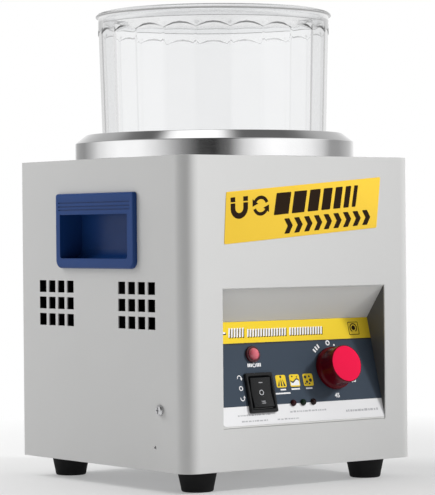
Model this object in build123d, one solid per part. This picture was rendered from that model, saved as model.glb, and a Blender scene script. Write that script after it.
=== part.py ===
from build123d import *
import os
from math import sin, cos, tan, radians, degrees, atan2, sqrt, pi

# ---------------------------------------------------------------------------
# Bench-top magnetic polishing tumbler.
# Frame: +Z up, Z = 0 is the plane the rubber feet stand on, the barrel axis is
# X = Y = 0, the control panel faces -Y.  Millimetres.
# ---------------------------------------------------------------------------

# ---- cabinet ----
W = 235.0            # cabinet width, X
D = 235.0            # cabinet depth, Y (sheet metal only)
Z_BOT = 16.8         # underside of the cabinet = height of the feet
Z_TOP = 266.2        # top edge of the cabinet
T = 1.2              # sheet thickness
R_FRONT = 13.0       # bend radius of the two front corners
REAR_LIP = 12.0      # return flange that the rear panel is screwed to

# ---- collar, barrel and lid ----
R_COLLAR = 117.2
Z_COLLAR_WALL = 280.4
R_COLLAR_TOP = 108.0
Z_COLLAR_TOP = 287.6
R_COLLAR_BORE = 97.8
T_COLLAR = 2.0
Z_BARREL = 268.0     # underside of the barrel
Z_RIM = 385.9        # top of the barrel
Z_ARCH = 374.5       # top of the flutes
R_V0, Z_V0 = 94.6, 291.0     # flute ridge radius, low and high
R_V1, Z_V1 = 97.0, 374.5
R_RIM = 97.2
N_FLUTES = 22
FLUTE_PHASE = -126.8         # direction of one flute's centre, degrees
R_IN0, Z_IN0 = 91.0, 271.0   # bore of the barrel, low and high
R_IN1, Z_IN1 = 93.7, 385.9
Z_LID = 386.0
R_LID = 99.2
Z_LID_TOP = 391.2

# ---- control recess ----
U0, U1 = -81.0, 86.3         # recess opening in X
Z_REC0, Z_REC1 = 50.3, 160.8 # recess opening in Z
REC_DEPTH = 22.5             # depth of the recess at the top of the panel
Z_PANEL_TOP = 133.8
T_OVERLAY = 0.4

# ---- items on the sloped panel: u = X, v = up the slope from its lower edge ----
ROCKER_C = (-39.0, 27.4)
ROCKER_BEZEL = (27.5, 32.5)
ROCKER_WIN = (20.8, 25.5)
ROCKER_GAP = 0.35
KNOB_C = (39.7, 44.2)
R_KNOB_SKIRT = 17.6
R_KNOB = 15.7
H_KNOB = 19.0
LAMP_C = (-40.5, 59.0)
R_LAMP = 6.8
LED_U = (-7.4, 2.8, 13.3)
LED_V = 17.7
R_LED = 2.7

# ---- carrying handles ----
H_Y0, H_Y1 = -53.0, 61.0
H_Z0, H_Z1 = 176.6, 238.4
H_PROUD = 3.5
HO_Y0, HO_Y1 = -44.0, 54.0   # finger opening
HO_Z0, HO_Z1 = 184.8, 220.9
H_DEPTH = 22.0               # depth of the pocket from the front of its rim
H_HOOK = 232.0               # top of the pocket behind the grip

# ---- vents ----
VENT = 10.0
VENT_PITCH = 13.8
VENT_Y = (65.2, -51.3)
VENT_Z = (161.3, 147.5, 133.6)

# ---- feet ----
FOOT_X = 87.0
FOOT_YS = (-90.0, 92.0)      # front pair, rear pair
R_FOOT_TOP, R_FOOT_BOT = 16.2, 13.0

# ---- drive ----
R_SHAFT = 4.0
RUN = 0.05                   # radial running clearance
R_DISC = 80.0
Z_DISC = 250.0               # underside of the magnet disc
T_DISC = 5.0
T_MAG = 5.5
Z_PLATE = 214.0              # underside of the motor plate
T_PLATE = 3.0
R_MOTOR = 48.0
Z_MOTOR0, Z_MOTOR1 = 112.0, 214.0

# ---- rear ----
Y_REAR = D / 2 + T           # outer face of the rear panel
FAN_C = (58.0, 150.0)        # X, Z
FAN = 80.0
FAN_T = 25.0
FAN_PITCH = 71.5
INLET_C = (62.0, 62.0)       # X, Z

os.makedirs("parts", exist_ok=True)
parts = {}


def box(x0, x1, y0, y1, z0, z1):
    return Pos((x0 + x1) / 2, (y0 + y1) / 2, (z0 + z1) / 2) * Box(x1 - x0, y1 - y0, z1 - z0)


def cyl(r, z0, z1, x=0.0, y=0.0):
    return Pos(x, y, (z0 + z1) / 2) * Cylinder(r, z1 - z0)


def rev(points):
    """Solid of revolution about Z from (r, z) points."""
    face = make_face(Plane.XZ * Polyline(*points, close=True))
    return revolve(face, Axis.Z, 360)


def prism_x(points, x0, x1):
    """Prism along X from (y, z) points."""
    face = make_face(Plane.YZ * Polyline(*points, close=True))
    return Pos(x0, 0, 0) * extrude(face, amount=x1 - x0, dir=(1, 0, 0))


def edges_along(part, axis):
    return part.edges().filter_by(axis)


def try_fillet(part, edges, r):
    try:
        out = fillet(edges, r)
        if out.is_valid and out.volume > 0:
            return out
    except Exception:
        pass
    return part


def group(items):
    return Compound(children=[s for it in items for s in it.solids()])


def put(name, item):
    parts[name] = item


def pan_screw(r_head, h_head, r_shank, length):
    """Pan head screw: seat at z = 0, head above, shank below."""
    head = rev([(0, 0), (r_head, 0), (r_head, h_head * 0.55), (r_head * 0.8, h_head * 0.9),
                (r_head * 0.45, h_head), (0, h_head)])
    slot = Box(r_head * 1.15, r_head * 0.26, 2 * h_head * 0.5) + Box(r_head * 0.26, r_head * 1.15, 2 * h_head * 0.5)
    head -= Pos(0, 0, h_head) * slot
    return head + cyl(r_shank, -length, 0.0)


# ---------------------------------------------------------------------------
# planes
# ---------------------------------------------------------------------------
_dy = REC_DEPTH
_dz = Z_PANEL_TOP - Z_REC0
L_PANEL = sqrt(_dy * _dy + _dz * _dz)
SV = (0.0, _dy / L_PANEL, _dz / L_PANEL)         # up the slope
SN = (0.0, -_dz / L_PANEL, _dy / L_PANEL)        # outward normal
PANEL = Plane(origin=(0, -D / 2, Z_REC0), x_dir=(1, 0, 0), z_dir=SN)
REAR = Plane(origin=(0, Y_REAR, 0), x_dir=(-1, 0, 0), z_dir=(0, 1, 0))
LEFT = Plane(origin=(-W / 2, 0, 0), x_dir=(0, -1, 0), z_dir=(-1, 0, 0))
RIGHT = Plane(origin=(W / 2, 0, 0), x_dir=(0, 1, 0), z_dir=(1, 0, 0))


def on_panel(u, v, w=0.0):
    return PANEL * Pos(u, v, w)


# ---------------------------------------------------------------------------
# sheet metal cabinet
# ---------------------------------------------------------------------------
SIDE_SCREW = (-83.0, 65.4)     # Y, Z on both sides
PILOT = (-75.6, 35.5)
REAR_SCREW_X = 110.4
REAR_SCREW_Z = (41.0, 143.0, 245.0)

outer = box(-W / 2, W / 2, -D / 2, D / 2, Z_BOT, Z_TOP)
front_edges = [e for e in edges_along(outer, Axis.Z) if e.center().Y < 0]
outer = fillet(front_edges, R_FRONT)
inner = box(-W / 2 + T, W / 2 - T, -D / 2 + T, D / 2 - T, Z_BOT - 5, Z_TOP + 5)
inner = fillet([e for e in edges_along(inner, Axis.Z) if e.center().Y < 0], R_FRONT - T)
shell = outer - inner
xr = W / 2 - T - REAR_LIP
shell -= box(-xr, xr, D / 2 - 5, D / 2 + 5, Z_BOT - 5, Z_TOP + 5)
shell -= box(U0, U1, -D / 2 - 5, -D / 2 + 5, Z_REC0, Z_REC1)
shell -= box(-W, W, HO_Y0 - 2.4, HO_Y1 + 2.4, HO_Z0 - 2.4, H_HOOK + 2.4)
vents = []
for yc in VENT_Y:
    for i in range(4):
        for zc in VENT_Z:
            y = yc + (i - 1.5) * VENT_PITCH
            vents.append(box(-W, W, y - VENT / 2, y + VENT / 2, zc - VENT / 2, zc + VENT / 2))
shell -= vents
for sx in (-1, 1):
    shell -= Pos(sx * W / 2, SIDE_SCREW[0], SIDE_SCREW[1]) * Rot(0, 90, 0) * Cylinder(2.2, 10)
    shell -= Pos(sx * W / 2, PILOT[0], PILOT[1]) * Rot(0, 90, 0) * Cylinder(1.3, 10)
    for z in REAR_SCREW_Z:
        shell -= Pos(sx * REAR_SCREW_X, D / 2, z) * Rot(90, 0, 0) * Cylinder(2.0, 10)
put("housing_shell", shell)

# base tray: bottom plate with turned-up edges and two taller tabs for the side screws
g = 0.1
bx, by = W / 2 - T - g, D / 2 - T - g
tray = box(-bx, bx, -by, by, Z_BOT, Z_BOT + 16)
tray = fillet([e for e in edges_along(tray, Axis.Z) if e.center().Y < 0], R_FRONT - T - g)
tin = box(-bx + T, bx - T, -by + T, by - T, Z_BOT + T, Z_BOT + 30)
tin = fillet([e for e in edges_along(tin, Axis.Z) if e.center().Y < 0], R_FRONT - 2 * T - g)
tray -= tin
for sx in (-1, 1):
    a, b = sorted((sx * (bx - T), sx * bx))
    tray += box(a, b, SIDE_SCREW[0] - 10, SIDE_SCREW[0] + 14, Z_BOT + 8, SIDE_SCREW[1] + 9)
    tray -= Pos(sx * bx, SIDE_SCREW[0], SIDE_SCREW[1]) * Rot(0, 90, 0) * Cylinder(2.0, 10)
    for fy in FOOT_YS:
        tray -= cyl(2.3, 0, 30, sx * FOOT_X, fy)
for i in range(7):
    x = -36 + 12 * i
    tray -= box(x - 2, x + 2, -25, 25, 0, 30)
put("base_tray", tray)

# top deck, flush with the cabinet's top edge, turned down all round
deck = box(-bx, bx, -by, by, Z_TOP - 13, Z_TOP)
deck = fillet([e for e in edges_along(deck, Axis.Z) if e.center().Y < 0], R_FRONT - T - g)
din = box(-bx + T, bx - T, -by + T, by - T, Z_TOP - 30, Z_TOP - T)
din = fillet([e for e in edges_along(din, Axis.Z) if e.center().Y < 0], R_FRONT - 2 * T - g)
deck -= din
deck -= cyl(88.0, Z_TOP - 5, Z_TOP + 5)
SO = 76.0                      # standoff position in X and Y
for sx in (-1, 1):
    for sy in (-1, 1):
        deck -= cyl(2.2, Z_TOP - 5, Z_TOP + 5, sx * SO, sy * SO)
R_BOSS_C = 107.5
for k in range(4):
    a = radians(90 * k)
    deck -= cyl(2.2, Z_TOP - 5, Z_TOP + 5, R_BOSS_C * cos(a), R_BOSS_C * sin(a))
put("top_deck", deck)

# rear panel
ix, iz = INLET_C
fx, fz = FAN_C
rp = box(-W / 2 + 1.0, W / 2 - 1.0, D / 2, Y_REAR, Z_BOT + 1.2, Z_TOP - 1.0)
rp -= Pos(fx, D / 2, fz) * Rot(90, 0, 0) * Cylinder(38.0, 10)
for sx in (-1, 1):
    for sz in (-1, 1):
        rp -= Pos(fx + sx * FAN_PITCH / 2, D / 2, fz + sz * FAN_PITCH / 2) * Rot(90, 0, 0) * Cylinder(2.2, 10)
    for z in REAR_SCREW_Z:
        rp -= Pos(sx * REAR_SCREW_X, D / 2, z) * Rot(90, 0, 0) * Cylinder(2.2, 10)
    rp -= Pos(ix + sx * 20.0, D / 2, iz) * Rot(90, 0, 0) * Cylinder(1.7, 10)
rp -= box(ix - 14.2, ix + 14.2, D / 2 - 5, D / 2 + 5, iz - 17.2, iz + 13.2)
for row in range(2):
    for i in range(11):
        x = -60 + 12 * i
        rp -= box(x - 2.0, x + 2.0, D / 2 - 5, D / 2 + 5, 210 + row * 20 - 7, 210 + row * 20 + 7)
put("rear_panel", rp)

# applied name plate area on the front: a plain yellow parallelogram
LABEL = [(-76.8, 237.0), (82.7, 249.8), (78.1, 208.1), (-79.2, 195.8)]
lab = make_face(Plane.XZ * Polyline(*LABEL, close=True))
lab = extrude(lab, amount=0.3, dir=(0, -1, 0))
put("front_label", Pos(0, -D / 2, 0) * lab)

# ---------------------------------------------------------------------------
# collar and barrel seat
# ---------------------------------------------------------------------------
rc, rt, rb, tc = R_COLLAR, R_COLLAR_TOP, R_COLLAR_BORE, T_COLLAR
ring = rev([(rc, Z_TOP), (rc, Z_COLLAR_WALL), (rt, Z_COLLAR_TOP), (rb + 1.2, Z_COLLAR_TOP),
            (rb, Z_COLLAR_TOP - 1.2), (rb, Z_TOP), (rb + tc, Z_TOP), (rb + tc, Z_COLLAR_TOP - tc),
            (rt - 0.6, Z_COLLAR_TOP - tc), (rc - tc, Z_COLLAR_WALL - 0.9), (rc - tc, Z_TOP)])
for k in range(4):
    a = radians(90 * k)
    ring += cyl(4.5, Z_TOP, Z_COLLAR_TOP - 1.0, R_BOSS_C * cos(a), R_BOSS_C * sin(a)) & \
        rev([(rb + 0.5, Z_TOP), (rc - 0.5, Z_TOP), (rc - 0.5, Z_COLLAR_WALL - 0.5), (rt, Z_COLLAR_TOP - 0.5), (rb + 0.5, Z_COLLAR_TOP - 0.5)])
    ring -= cyl(2.0, Z_TOP - 1, Z_TOP + 12, R_BOSS_C * cos(a), R_BOSS_C * sin(a))
put("collar_ring", ring)
put("collar_screws", group([
    Pos(R_BOSS_C * cos(radians(90 * k)), R_BOSS_C * sin(radians(90 * k)), Z_TOP - T) * Rot(180, 0, 0)
    * pan_screw(3.8, 2.4, 1.95, 10.0) for k in range(4)]))

# non-magnetic floor that the barrel stands on
seat = rev([(0, Z_TOP), (97.4, Z_TOP), (97.4, Z_TOP + 1.5), (0, Z_TOP + 1.5)])
put("barrel_seat", seat)


def ridge(z):
    return R_V0 + (R_V1 - R_V0) * (z - Z_V0) / (Z_V1 - Z_V0)


def bore(z):
    return R_IN0 + (R_IN1 - R_IN0) * (z - Z_IN0) / (Z_IN1 - Z_IN0)


body = rev([(0, Z_BARREL), (ridge(Z_BARREL) - 4, Z_BARREL), (ridge(Z_BARREL) - 1.2, Z_BARREL + 1.2),
            (ridge(Z_BARREL + 4), Z_BARREL + 4), (R_V1, Z_ARCH), (R_RIM, Z_ARCH + 2.5), (R_RIM, Z_RIM), (0, Z_RIM)])
hollow = rev([(0, Z_IN0), (bore(Z_IN0) - 7, Z_IN0), (bore(Z_IN0) - 2.1, Z_IN0 + 2.1), (bore(Z_IN0 + 7), Z_IN0 + 7),
              (R_IN1, Z_IN1), (R_IN1, Z_IN1 + 5), (0, Z_IN1 + 5)])
body -= hollow
ca = cos(pi / N_FLUTES)
flute = make_face(Plane.XZ * Polyline((ridge(Z_BARREL - 4) * ca, Z_BARREL - 4), (ridge(Z_ARCH) * ca, Z_ARCH),
                                      (R_RIM + 8, Z_ARCH), (R_RIM + 8, Z_BARREL - 4), close=True))
flute = extrude(flute, amount=16, both=True)
body -= [Rot(0, 0, FLUTE_PHASE + 360.0 / N_FLUTES * k) * flute for k in range(N_FLUTES)]
put("tumbling_barrel", body)

lid = rev([(0, Z_LID + 2.6), (90.6, Z_LID + 2.6), (91.0, Z_LID + 0.4), (91.3, Z_LID - 5.5), (93.1, Z_LID - 5.5), (93.1, Z_LID),
           (R_LID, Z_LID), (R_LID, Z_LID + 1.6), (R_LID - 1.4, Z_LID + 2.9), (R_LID - 5.0, Z_LID + 4.1),
           (R_LID - 13.0, Z_LID + 5.0), (0, Z_LID_TOP)])
put("barrel_lid", lid)

# ---------------------------------------------------------------------------
# carrying handles
# ---------------------------------------------------------------------------
xo = -W / 2 - H_PROUD
flange = box(xo, -W / 2, H_Y0, H_Y1, H_Z0, H_Z1)
ex = edges_along(flange, Axis.X)
flange = fillet([e for e in ex if e.center().Z < 200], 7.0)
flange = fillet([e for e in edges_along(flange, Axis.X) if e.center().Z > H_Z1 - 1], 2.5)
flange = try_fillet(flange, [e for e in flange.edges() if abs(e.center().X - xo) < 0.01], 1.8)
pw = 2.0
xb = xo + H_DEPTH                       # inner face of the pocket's back wall
pod = box(-W / 2 - 0.5, xb + pw, HO_Y0 - pw, HO_Y1 + pw, HO_Z0 - pw, H_HOOK + pw)
pod = try_fillet(pod, [e for e in edges_along(pod, Axis.Y) if e.center().X > -110 and e.center().Z < 200], 9.5)
cav = box(-W / 2 + 2.0, xb, HO_Y0, HO_Y1, HO_Z0, H_HOOK)
cav = try_fillet(cav, [e for e in edges_along(cav, Axis.Y) if e.center().X > -110 and e.center().Z < 200], 8.0)
cav = try_fillet(cav, [e for e in edges_along(cav, Axis.Y) if e.center().X > -110 and e.center().Z > 200], 4.0)
mouth = box(xo - 5, -W / 2 + 6.0, HO_Y0, HO_Y1, HO_Z0, HO_Z1)
mouth = try_fillet(mouth, [e for e in edges_along(mouth, Axis.X) if e.center().Z < 200], 2.5)
handle = flange + pod - cav - mouth
for zg in (230.7, 227.5, 224.8):
    handle -= box(xo - 1, xo + 0.6, H_Y0 + 5, H_Y1 - 5, zg - 0.45, zg + 0.45)
clip_in = -W / 2 + T + 0.1
for y in (HO_Y0 + 20, HO_Y1 - 20):
    handle += box(clip_in, clip_in + 2.5, y - 6, y + 6, H_HOOK + pw - 0.4, H_HOOK + pw + 1.6)
    handle += box(clip_in, clip_in + 2.5, y - 6, y + 6, HO_Z0 - pw - 1.6, HO_Z0 - pw + 0.4)
put("carry_handle_left", handle)
put("carry_handle_right", mirror(handle, Plane.YZ))

# ---------------------------------------------------------------------------
# control recess
# ---------------------------------------------------------------------------
yf = -D / 2                             # front plane
yw = yf + T + 0.05                      # just behind the front sheet
w0, w1 = -T_OVERLAY, -T_OVERLAY - T     # the panel sheet's faces


def slope(v, w):
    """(y, z) of panel coordinates v, w."""
    return (yf + SV[1] * v + SN[1] * w, Z_REC0 + SV[2] * v + SN[2] * w)


corner = slope(L_PANEL, 0)
cl = sqrt((yw - corner[0]) ** 2 + (Z_REC1 - corner[1]) ** 2)
cd = ((yw - corner[0]) / cl, (Z_REC1 - corner[1]) / cl)     # along the ceiling, towards the front
cn = (cd[1], -cd[0])                                        # away from the recess
back_corner = (corner[0] + 1.6, corner[1] + 0.2)
pan = prism_x([slope(0.6, w0), slope(L_PANEL + 0.3, w0), slope(L_PANEL + 1.0, w1), slope(0.6, w1)], U0, U1)
pan += prism_x([corner, (yw, Z_REC1), (yw + cn[0] * T * 1.4, Z_REC1 + 0.4), (corner[0] + cn[0] * T + 0.4, corner[1] + cn[1] * T + 0.6),
                slope(L_PANEL + 1.0, w1)], U0, U1)
pan += box(U0, U1, yw, yw + T, Z_REC1 - 1.0, Z_REC1 + 9.0)
pan += box(U0, U1, yw, yw + T, Z_REC0 - 9.0, Z_REC0 + 3.0)
ru, rv = ROCKER_C
ku, kv = KNOB_C
lu, lv = LAMP_C
pan_holes = [on_panel(ru, rv, -1) * Box(24.2, 29.2, 8), on_panel(ku, kv, -1) * Cylinder(5.0, 8),
             on_panel(lu, lv, -1) * Cylinder(5.3, 8)]
pan_holes += [on_panel(u, LED_V, -1) * Cylinder(R_LED + 0.1, 8) for u in LED_U]
pan -= pan_holes
put("console_pan", pan)

cheek = [(yw, Z_REC0 + 1.0), (yw, Z_REC1 + 1.8), (corner[0] + 3.2, corner[1] + 0.4)]
put("console_cheek_left", prism_x(cheek, U0 - T - 0.05, U0 - 0.05))
put("console_cheek_right", prism_x(cheek, U1 + 0.05, U1 + T + 0.05))

over = PANEL * (Pos((U0 + U1) / 2, L_PANEL / 2, -T_OVERLAY / 2) * Box(U1 - U0 - 0.3, L_PANEL - 1.0, T_OVERLAY))
over -= pan_holes
put("panel_overlay", over)

# rocker switch: frame and tilting actuator, pivot line in the panel plane
bw, bh = ROCKER_BEZEL
ww, wh = ROCKER_WIN
bez = Pos(0, 0, 1.3) * Box(bw, bh, 2.6)
bez = try_fillet(bez, bez.faces().sort_by(Axis.Z)[-1].edges(), 0.9)
bez += Pos(0, 0, -9.9) * Box(24.0, 29.0, 20.0)
bez -= Pos(0, 0, 1.0) * Box(ww, wh, 22.0)
bez -= Rot(0, 90, 0) * Cylinder(1.2 + RUN, 24.4)
put("rocker_bezel", on_panel(ru, rv) * bez)
rr = wh / 2 - ROCKER_GAP
act = Rot(0, 90, 0) * Cylinder(rr, ww - 2 * ROCKER_GAP)
act &= Pos(0, 0, -1.2) * Box(30, 30, 9.6)
for s in (-1, 1):
    act -= Pos(0, s * 7.0, 4.1) * Rot(s * 7.5, 0, 0) * Box(30, 14.6, 3.0)
act += Rot(0, 90, 0) * Cylinder(1.2, ww + 2.6)
put("rocker_actuator", on_panel(ru, rv) * act)
term = [Pos(x, y, -23.5) * Box(0.8, 4.8, 7.2) for x in (-6.5, 6.5) for y in (-9, 0, 9)]
put("rocker_terminals", group([on_panel(ru, rv) * t for t in term]))

# timer: knob on a shaft, bushing and case behind the panel, nut under the knob
knob = rev([(0, 0.7), (R_KNOB_SKIRT - 0.4, 0.7), (R_KNOB_SKIRT, 1.1), (R_KNOB_SKIRT, 3.2), (R_KNOB_SKIRT - 0.6, 4.0),
            (R_KNOB, 4.8), (R_KNOB - 0.25, H_KNOB - 1.2), (R_KNOB - 1.3, H_KNOB), (0, H_KNOB)])
knob -= cyl(9.0, 0, 6.5)
knob += cyl(5.5, 6.0, 8.0) - cyl(3.0, 5, 9)
knob -= cyl(3.0, 0, 16.0)
put("timer_knob", on_panel(ku, kv) * knob)
put("timer_shaft", on_panel(ku, kv) * (cyl(3.0, -9.0, 15.9) - Pos(2.9, 0, 11) * Box(0.8, 8, 12)))
tim = cyl(4.9, w1 - 0.05, 5.2) + Pos(0, 0, w1 - 0.05 - 11.0) * Box(38, 42, 22)
tim = tim + Pos(0, -24, w1 - 8) * Box(20, 10, 8)
tim -= cyl(3.0 + RUN, -12.0, 8)
put("timer_body", on_panel(ku, kv) * tim)
nut = extrude(RegularPolygon(7.6, 6), amount=2.4) - cyl(4.9, -1, 4)
put("timer_nut", on_panel(ku, kv, 0.02) * nut)

# neon lamp: bezel with barrel, domed lens
lb = rev([(5.2, -16), (5.2, 0), (R_LAMP, 0), (R_LAMP, 1.6), (R_LAMP - 0.7, 2.2), (4.9, 2.2), (4.9, 0.4), (0, 0.4), (0, -16)])
put("lamp_bezel", on_panel(lu, lv) * lb)
ll = rev([(0, 0.45), (4.85, 0.45), (4.85, 2.4), (4.3, 3.6), (3.2, 4.6), (1.7, 5.2), (0, 5.4)])
put("lamp_lens", on_panel(lu, lv) * ll)
led = rev([(0, -6), (R_LED, -6), (R_LED, 0.5), (R_LED * 0.86, 1.4), (R_LED * 0.5, 2.1), (0, 2.4)])
put("status_leds", group([on_panel(u, LED_V) * led for u in LED_U]))

# ---------------------------------------------------------------------------
# feet and fasteners
# ---------------------------------------------------------------------------
foot = rev([(0, 0), (R_FOOT_BOT - 1.5, 0), (R_FOOT_BOT, 1.5), (R_FOOT_TOP, Z_BOT), (0, Z_BOT)])
foot -= cyl(5.6, -1, 7.0)
foot -= cyl(2.3, -1, 30)
put("rubber_feet", group([Pos(sx * FOOT_X, fy, 0) * foot for sx in (-1, 1) for fy in FOOT_YS]))
fs = pan_screw(4.4, 2.8, 2.2, 16.0)
put("foot_screws", group([Pos(sx * FOOT_X, fy, 7.0) * Rot(180, 0, 0) * fs
                          for sx in (-1, 1) for fy in FOOT_YS]))
fn = extrude(RegularPolygon(4.2, 6), amount=3.2) - cyl(2.2, -1, 5)
put("foot_nuts", group([Pos(sx * FOOT_X, fy, Z_BOT + T) * fn for sx in (-1, 1) for fy in FOOT_YS]))
ss = pan_screw(4.3, 2.6, 1.95, 8.0)
put("side_screws", group([LEFT * Pos(-SIDE_SCREW[0], SIDE_SCREW[1], 0) * ss,
                          RIGHT * Pos(SIDE_SCREW[0], SIDE_SCREW[1], 0) * ss]))
put("rear_screws", group([REAR * Pos(sx * REAR_SCREW_X, z, 0) * pan_screw(3.8, 2.4, 1.95, 8.0)
                          for sx in (-1, 1) for z in REAR_SCREW_Z]))

# ---------------------------------------------------------------------------
# drive: motor hung from the deck, magnet disc under the barrel seat
# ---------------------------------------------------------------------------
pl = box(-86, 86, -86, 86, Z_PLATE, Z_PLATE + T_PLATE)
pl = fillet(edges_along(pl, Axis.Z), 10)
pl -= cyl(22.0, Z_PLATE - 2, Z_PLATE + 8)
for sx in (-1, 1):
    for sy in (-1, 1):
        pl -= cyl(2.7, Z_PLATE - 2, Z_PLATE + 8, sx * SO, sy * SO)
for k in range(4):
    a = radians(90 * k)
    pl -= cyl(2.2, Z_PLATE - 2, Z_PLATE + 8, 35 * cos(a), 35 * sin(a))
put("motor_plate", pl)
so = extrude(RegularPolygon(5.8, 6), amount=Z_TOP - T - Z_PLATE - T_PLATE) - cyl(2.0, -1, 80)
put("plate_standoffs", group([Pos(sx * SO, sy * SO, Z_PLATE + T_PLATE) * so for sx in (-1, 1) for sy in (-1, 1)]))
put("standoff_screws", group(
    [Pos(sx * SO, sy * SO, Z_TOP) * pan_screw(3.8, 2.4, 1.95, 12.0) for sx in (-1, 1) for sy in (-1, 1)]
    + [Pos(sx * SO, sy * SO, Z_PLATE) * Rot(180, 0, 0) * pan_screw(4.6, 2.8, 1.95, 14.0) for sx in (-1, 1) for sy in (-1, 1)]))

zb0, zb1 = Z_MOTOR0, Z_MOTOR1
put("motor_casing", cyl(R_MOTOR, zb0 + 14, zb1 - 14) - cyl(R_MOTOR - 2.5, zb0, zb1))
bell = rev([(11.0, 0), (14, 0), (R_MOTOR - 6, 0), (R_MOTOR, 5), (R_MOTOR, 14), (R_MOTOR - 4, 14), (R_MOTOR - 4, 8),
            (R_MOTOR - 9, 4), (16, 4), (16, 9), (11.0, 9)])
top_bell = Pos(0, 0, zb1) * (Rot(180, 0, 0) * bell)
for k in range(4):
    a = radians(90 * k)
    top_bell -= cyl(1.9, zb1 - 6, zb1 + 2, 35 * cos(a), 35 * sin(a))
put("motor_bell_top", top_bell)
bot_bell = Pos(0, 0, zb0) * bell
for k in range(8):
    a = radians(45 * k + 22.5)
    bot_bell -= cyl(4.0, zb0 - 2, zb0 + 6, 28 * cos(a), 28 * sin(a))
put("motor_bell_bottom", bot_bell)
bear = cyl(11.0, 0, 7) - cyl(R_SHAFT + RUN, -1, 9)
put("bearing_top", Pos(0, 0, zb1 - 8) * bear)
put("bearing_bottom", Pos(0, 0, zb0 + 1) * bear)
st = cyl(R_MOTOR - 2.5, zb0 + 26, zb1 - 26) - cyl(30.5, zb0, zb1)
for k in range(6):
    a = radians(60 * k)
    st -= cyl(4.5, zb0, zb1, 37.5 * cos(a), 37.5 * sin(a))
put("motor_stator", st)
put("motor_armature", cyl(29.5, zb0 + 26, zb1 - 26) - cyl(R_SHAFT, zb0, zb1))
put("motor_shaft", cyl(R_SHAFT, zb0 - 4, Z_DISC + T_DISC + 2))
put("motor_screws", group([Pos(35 * cos(radians(90 * k)), 35 * sin(radians(90 * k)), Z_PLATE + T_PLATE)
                           * pan_screw(3.8, 2.4, 1.85, 6.5) for k in range(4)]))
hub = rev([(R_SHAFT, Z_DISC - 20), (10, Z_DISC - 20), (10, Z_DISC - 5), (22, Z_DISC - 5), (22, Z_DISC), (R_SHAFT, Z_DISC)])
put("disc_hub", hub)
disc = cyl(R_DISC, Z_DISC, Z_DISC + T_DISC) - cyl(R_SHAFT, Z_DISC - 2, Z_DISC + 9)
for k in range(4):
    a = radians(90 * k + 45)
    disc -= cyl(2.1, Z_DISC - 2, Z_DISC + 9, 16 * cos(a), 16 * sin(a))
    disc -= cyl(9.0, Z_DISC - 2, Z_DISC + 9, 40 * cos(a), 40 * sin(a))
put("magnet_disc", disc)
mags = []
for k in range(8):
    mags.append(Rot(0, 0, 45 * k) * (Pos(62, 0, Z_DISC + T_DISC + T_MAG / 2) * Box(28, 16, T_MAG)))
put("disc_magnets", group(mags))
put("hub_screws", group([Pos(16 * cos(radians(90 * k + 45)), 16 * sin(radians(90 * k + 45)), Z_DISC + T_DISC)
                         * pan_screw(3.6, 2.2, 2.1, 5.0) for k in range(4)]))

# ---------------------------------------------------------------------------
# rear: cooling fan, guard and mains inlet
# ---------------------------------------------------------------------------
YI = D / 2                                   # inner face of the rear panel
FANP = Plane(origin=(fx, YI, fz), x_dir=(-1, 0, 0), z_dir=(0, 1, 0))    # local z runs rearward
fr = Pos(0, 0, -FAN_T / 2) * Box(FAN, FAN, FAN_T)
fr = fillet(edges_along(fr, Axis.Z), 4)
fr -= Pos(0, 0, -FAN_T / 2) * Cylinder(38.0, FAN_T + 2)
for sx in (-1, 1):
    for sy in (-1, 1):
        fr -= Pos(sx * FAN_PITCH / 2, sy * FAN_PITCH / 2, -FAN_T / 2) * Cylinder(2.1, FAN_T + 2)
fr += Pos(0, 0, -FAN_T + 1.5) * Cylinder(17, 3)
for k in range(4):
    fr += Rot(0, 0, 45 + 90 * k) * (Pos(27.2, 0, -FAN_T + 1.25) * Box(23, 4, 2.5))
put("fan_frame", FANP * fr)
imp = cyl(16.0, -20.5, -4.2) - cyl(13.8, -30, -6.0)
for k in range(7):
    bl = Pos(26.0, 0, -12.4) * Rot(35, 0, 0) * Box(21.6, 17.0, 1.6)
    imp += Rot(0, 0, 360 / 7 * k) * bl
imp &= cyl(36.8, -20.8, -4.0)
put("fan_impeller", FANP * imp)
wr = 1.0
guard = None
for r in (12.0, 20.0, 28.0, 36.0):
    t = Pos(0, 0, T + 4.7) * Torus(r, wr)
    guard = t if guard is None else guard + t
for k in range(4):
    guard += Rot(0, 0, 45 + 90 * k) * (Pos(28.6, 0, T + 3.0) * Box(35.6, 2.0, 2.0))
    guard += Rot(0, 0, 45 + 90 * k) * (Pos(FAN_PITCH / sqrt(2), 0, T + 1.32) * Cylinder(5.2, 2.6))
    guard -= Rot(0, 0, 45 + 90 * k) * (Pos(FAN_PITCH / sqrt(2), 0, T + 1.0) * Cylinder(2.2, 12))
put("fan_guard", FANP * guard)
put("fan_screws", group([FANP * Pos(sx * FAN_PITCH / 2, sy * FAN_PITCH / 2, T + 2.64) * pan_screw(3.8, 2.4, 1.95, 16.0)
                         for sx in (-1, 1) for sy in (-1, 1)]))

# C14 mains inlet with a fuse drawer below the socket
INL = REAR * Pos(-ix, iz, 0)
sock = Pos(0, -2.0, 1.5) * Box(50, 32.0, 3.0)
sock = try_fillet(sock, edges_along(sock, Axis.Z), 4.0)
sock += Pos(0, -2.0, -12.5) * Box(28.0, 30.0, 26.0)
sock -= Pos(0, 3.0, -5.0) * Box(24.4, 16.2, 18.0)
sock -= Pos(0, -11.2, -8.0) * Box(22.4, 7.4, 26.0)
for sx in (-1, 1):
    sock -= Pos(sx * 20.0, 0, 0) * Cylinder(1.7, 12)
put("inlet_socket", INL * sock)
pins = [Pos(0, 5.3, -8.0) * Box(2.0, 4.0, 15.0), Pos(-7.0, 1.0, -8.0) * Box(2.0, 4.0, 15.0), Pos(7.0, 1.0, -8.0) * Box(2.0, 4.0, 15.0)]
pins = [p & Pos(0, 0, -6.9) * Box(60, 60, 14.2) for p in pins]
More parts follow.
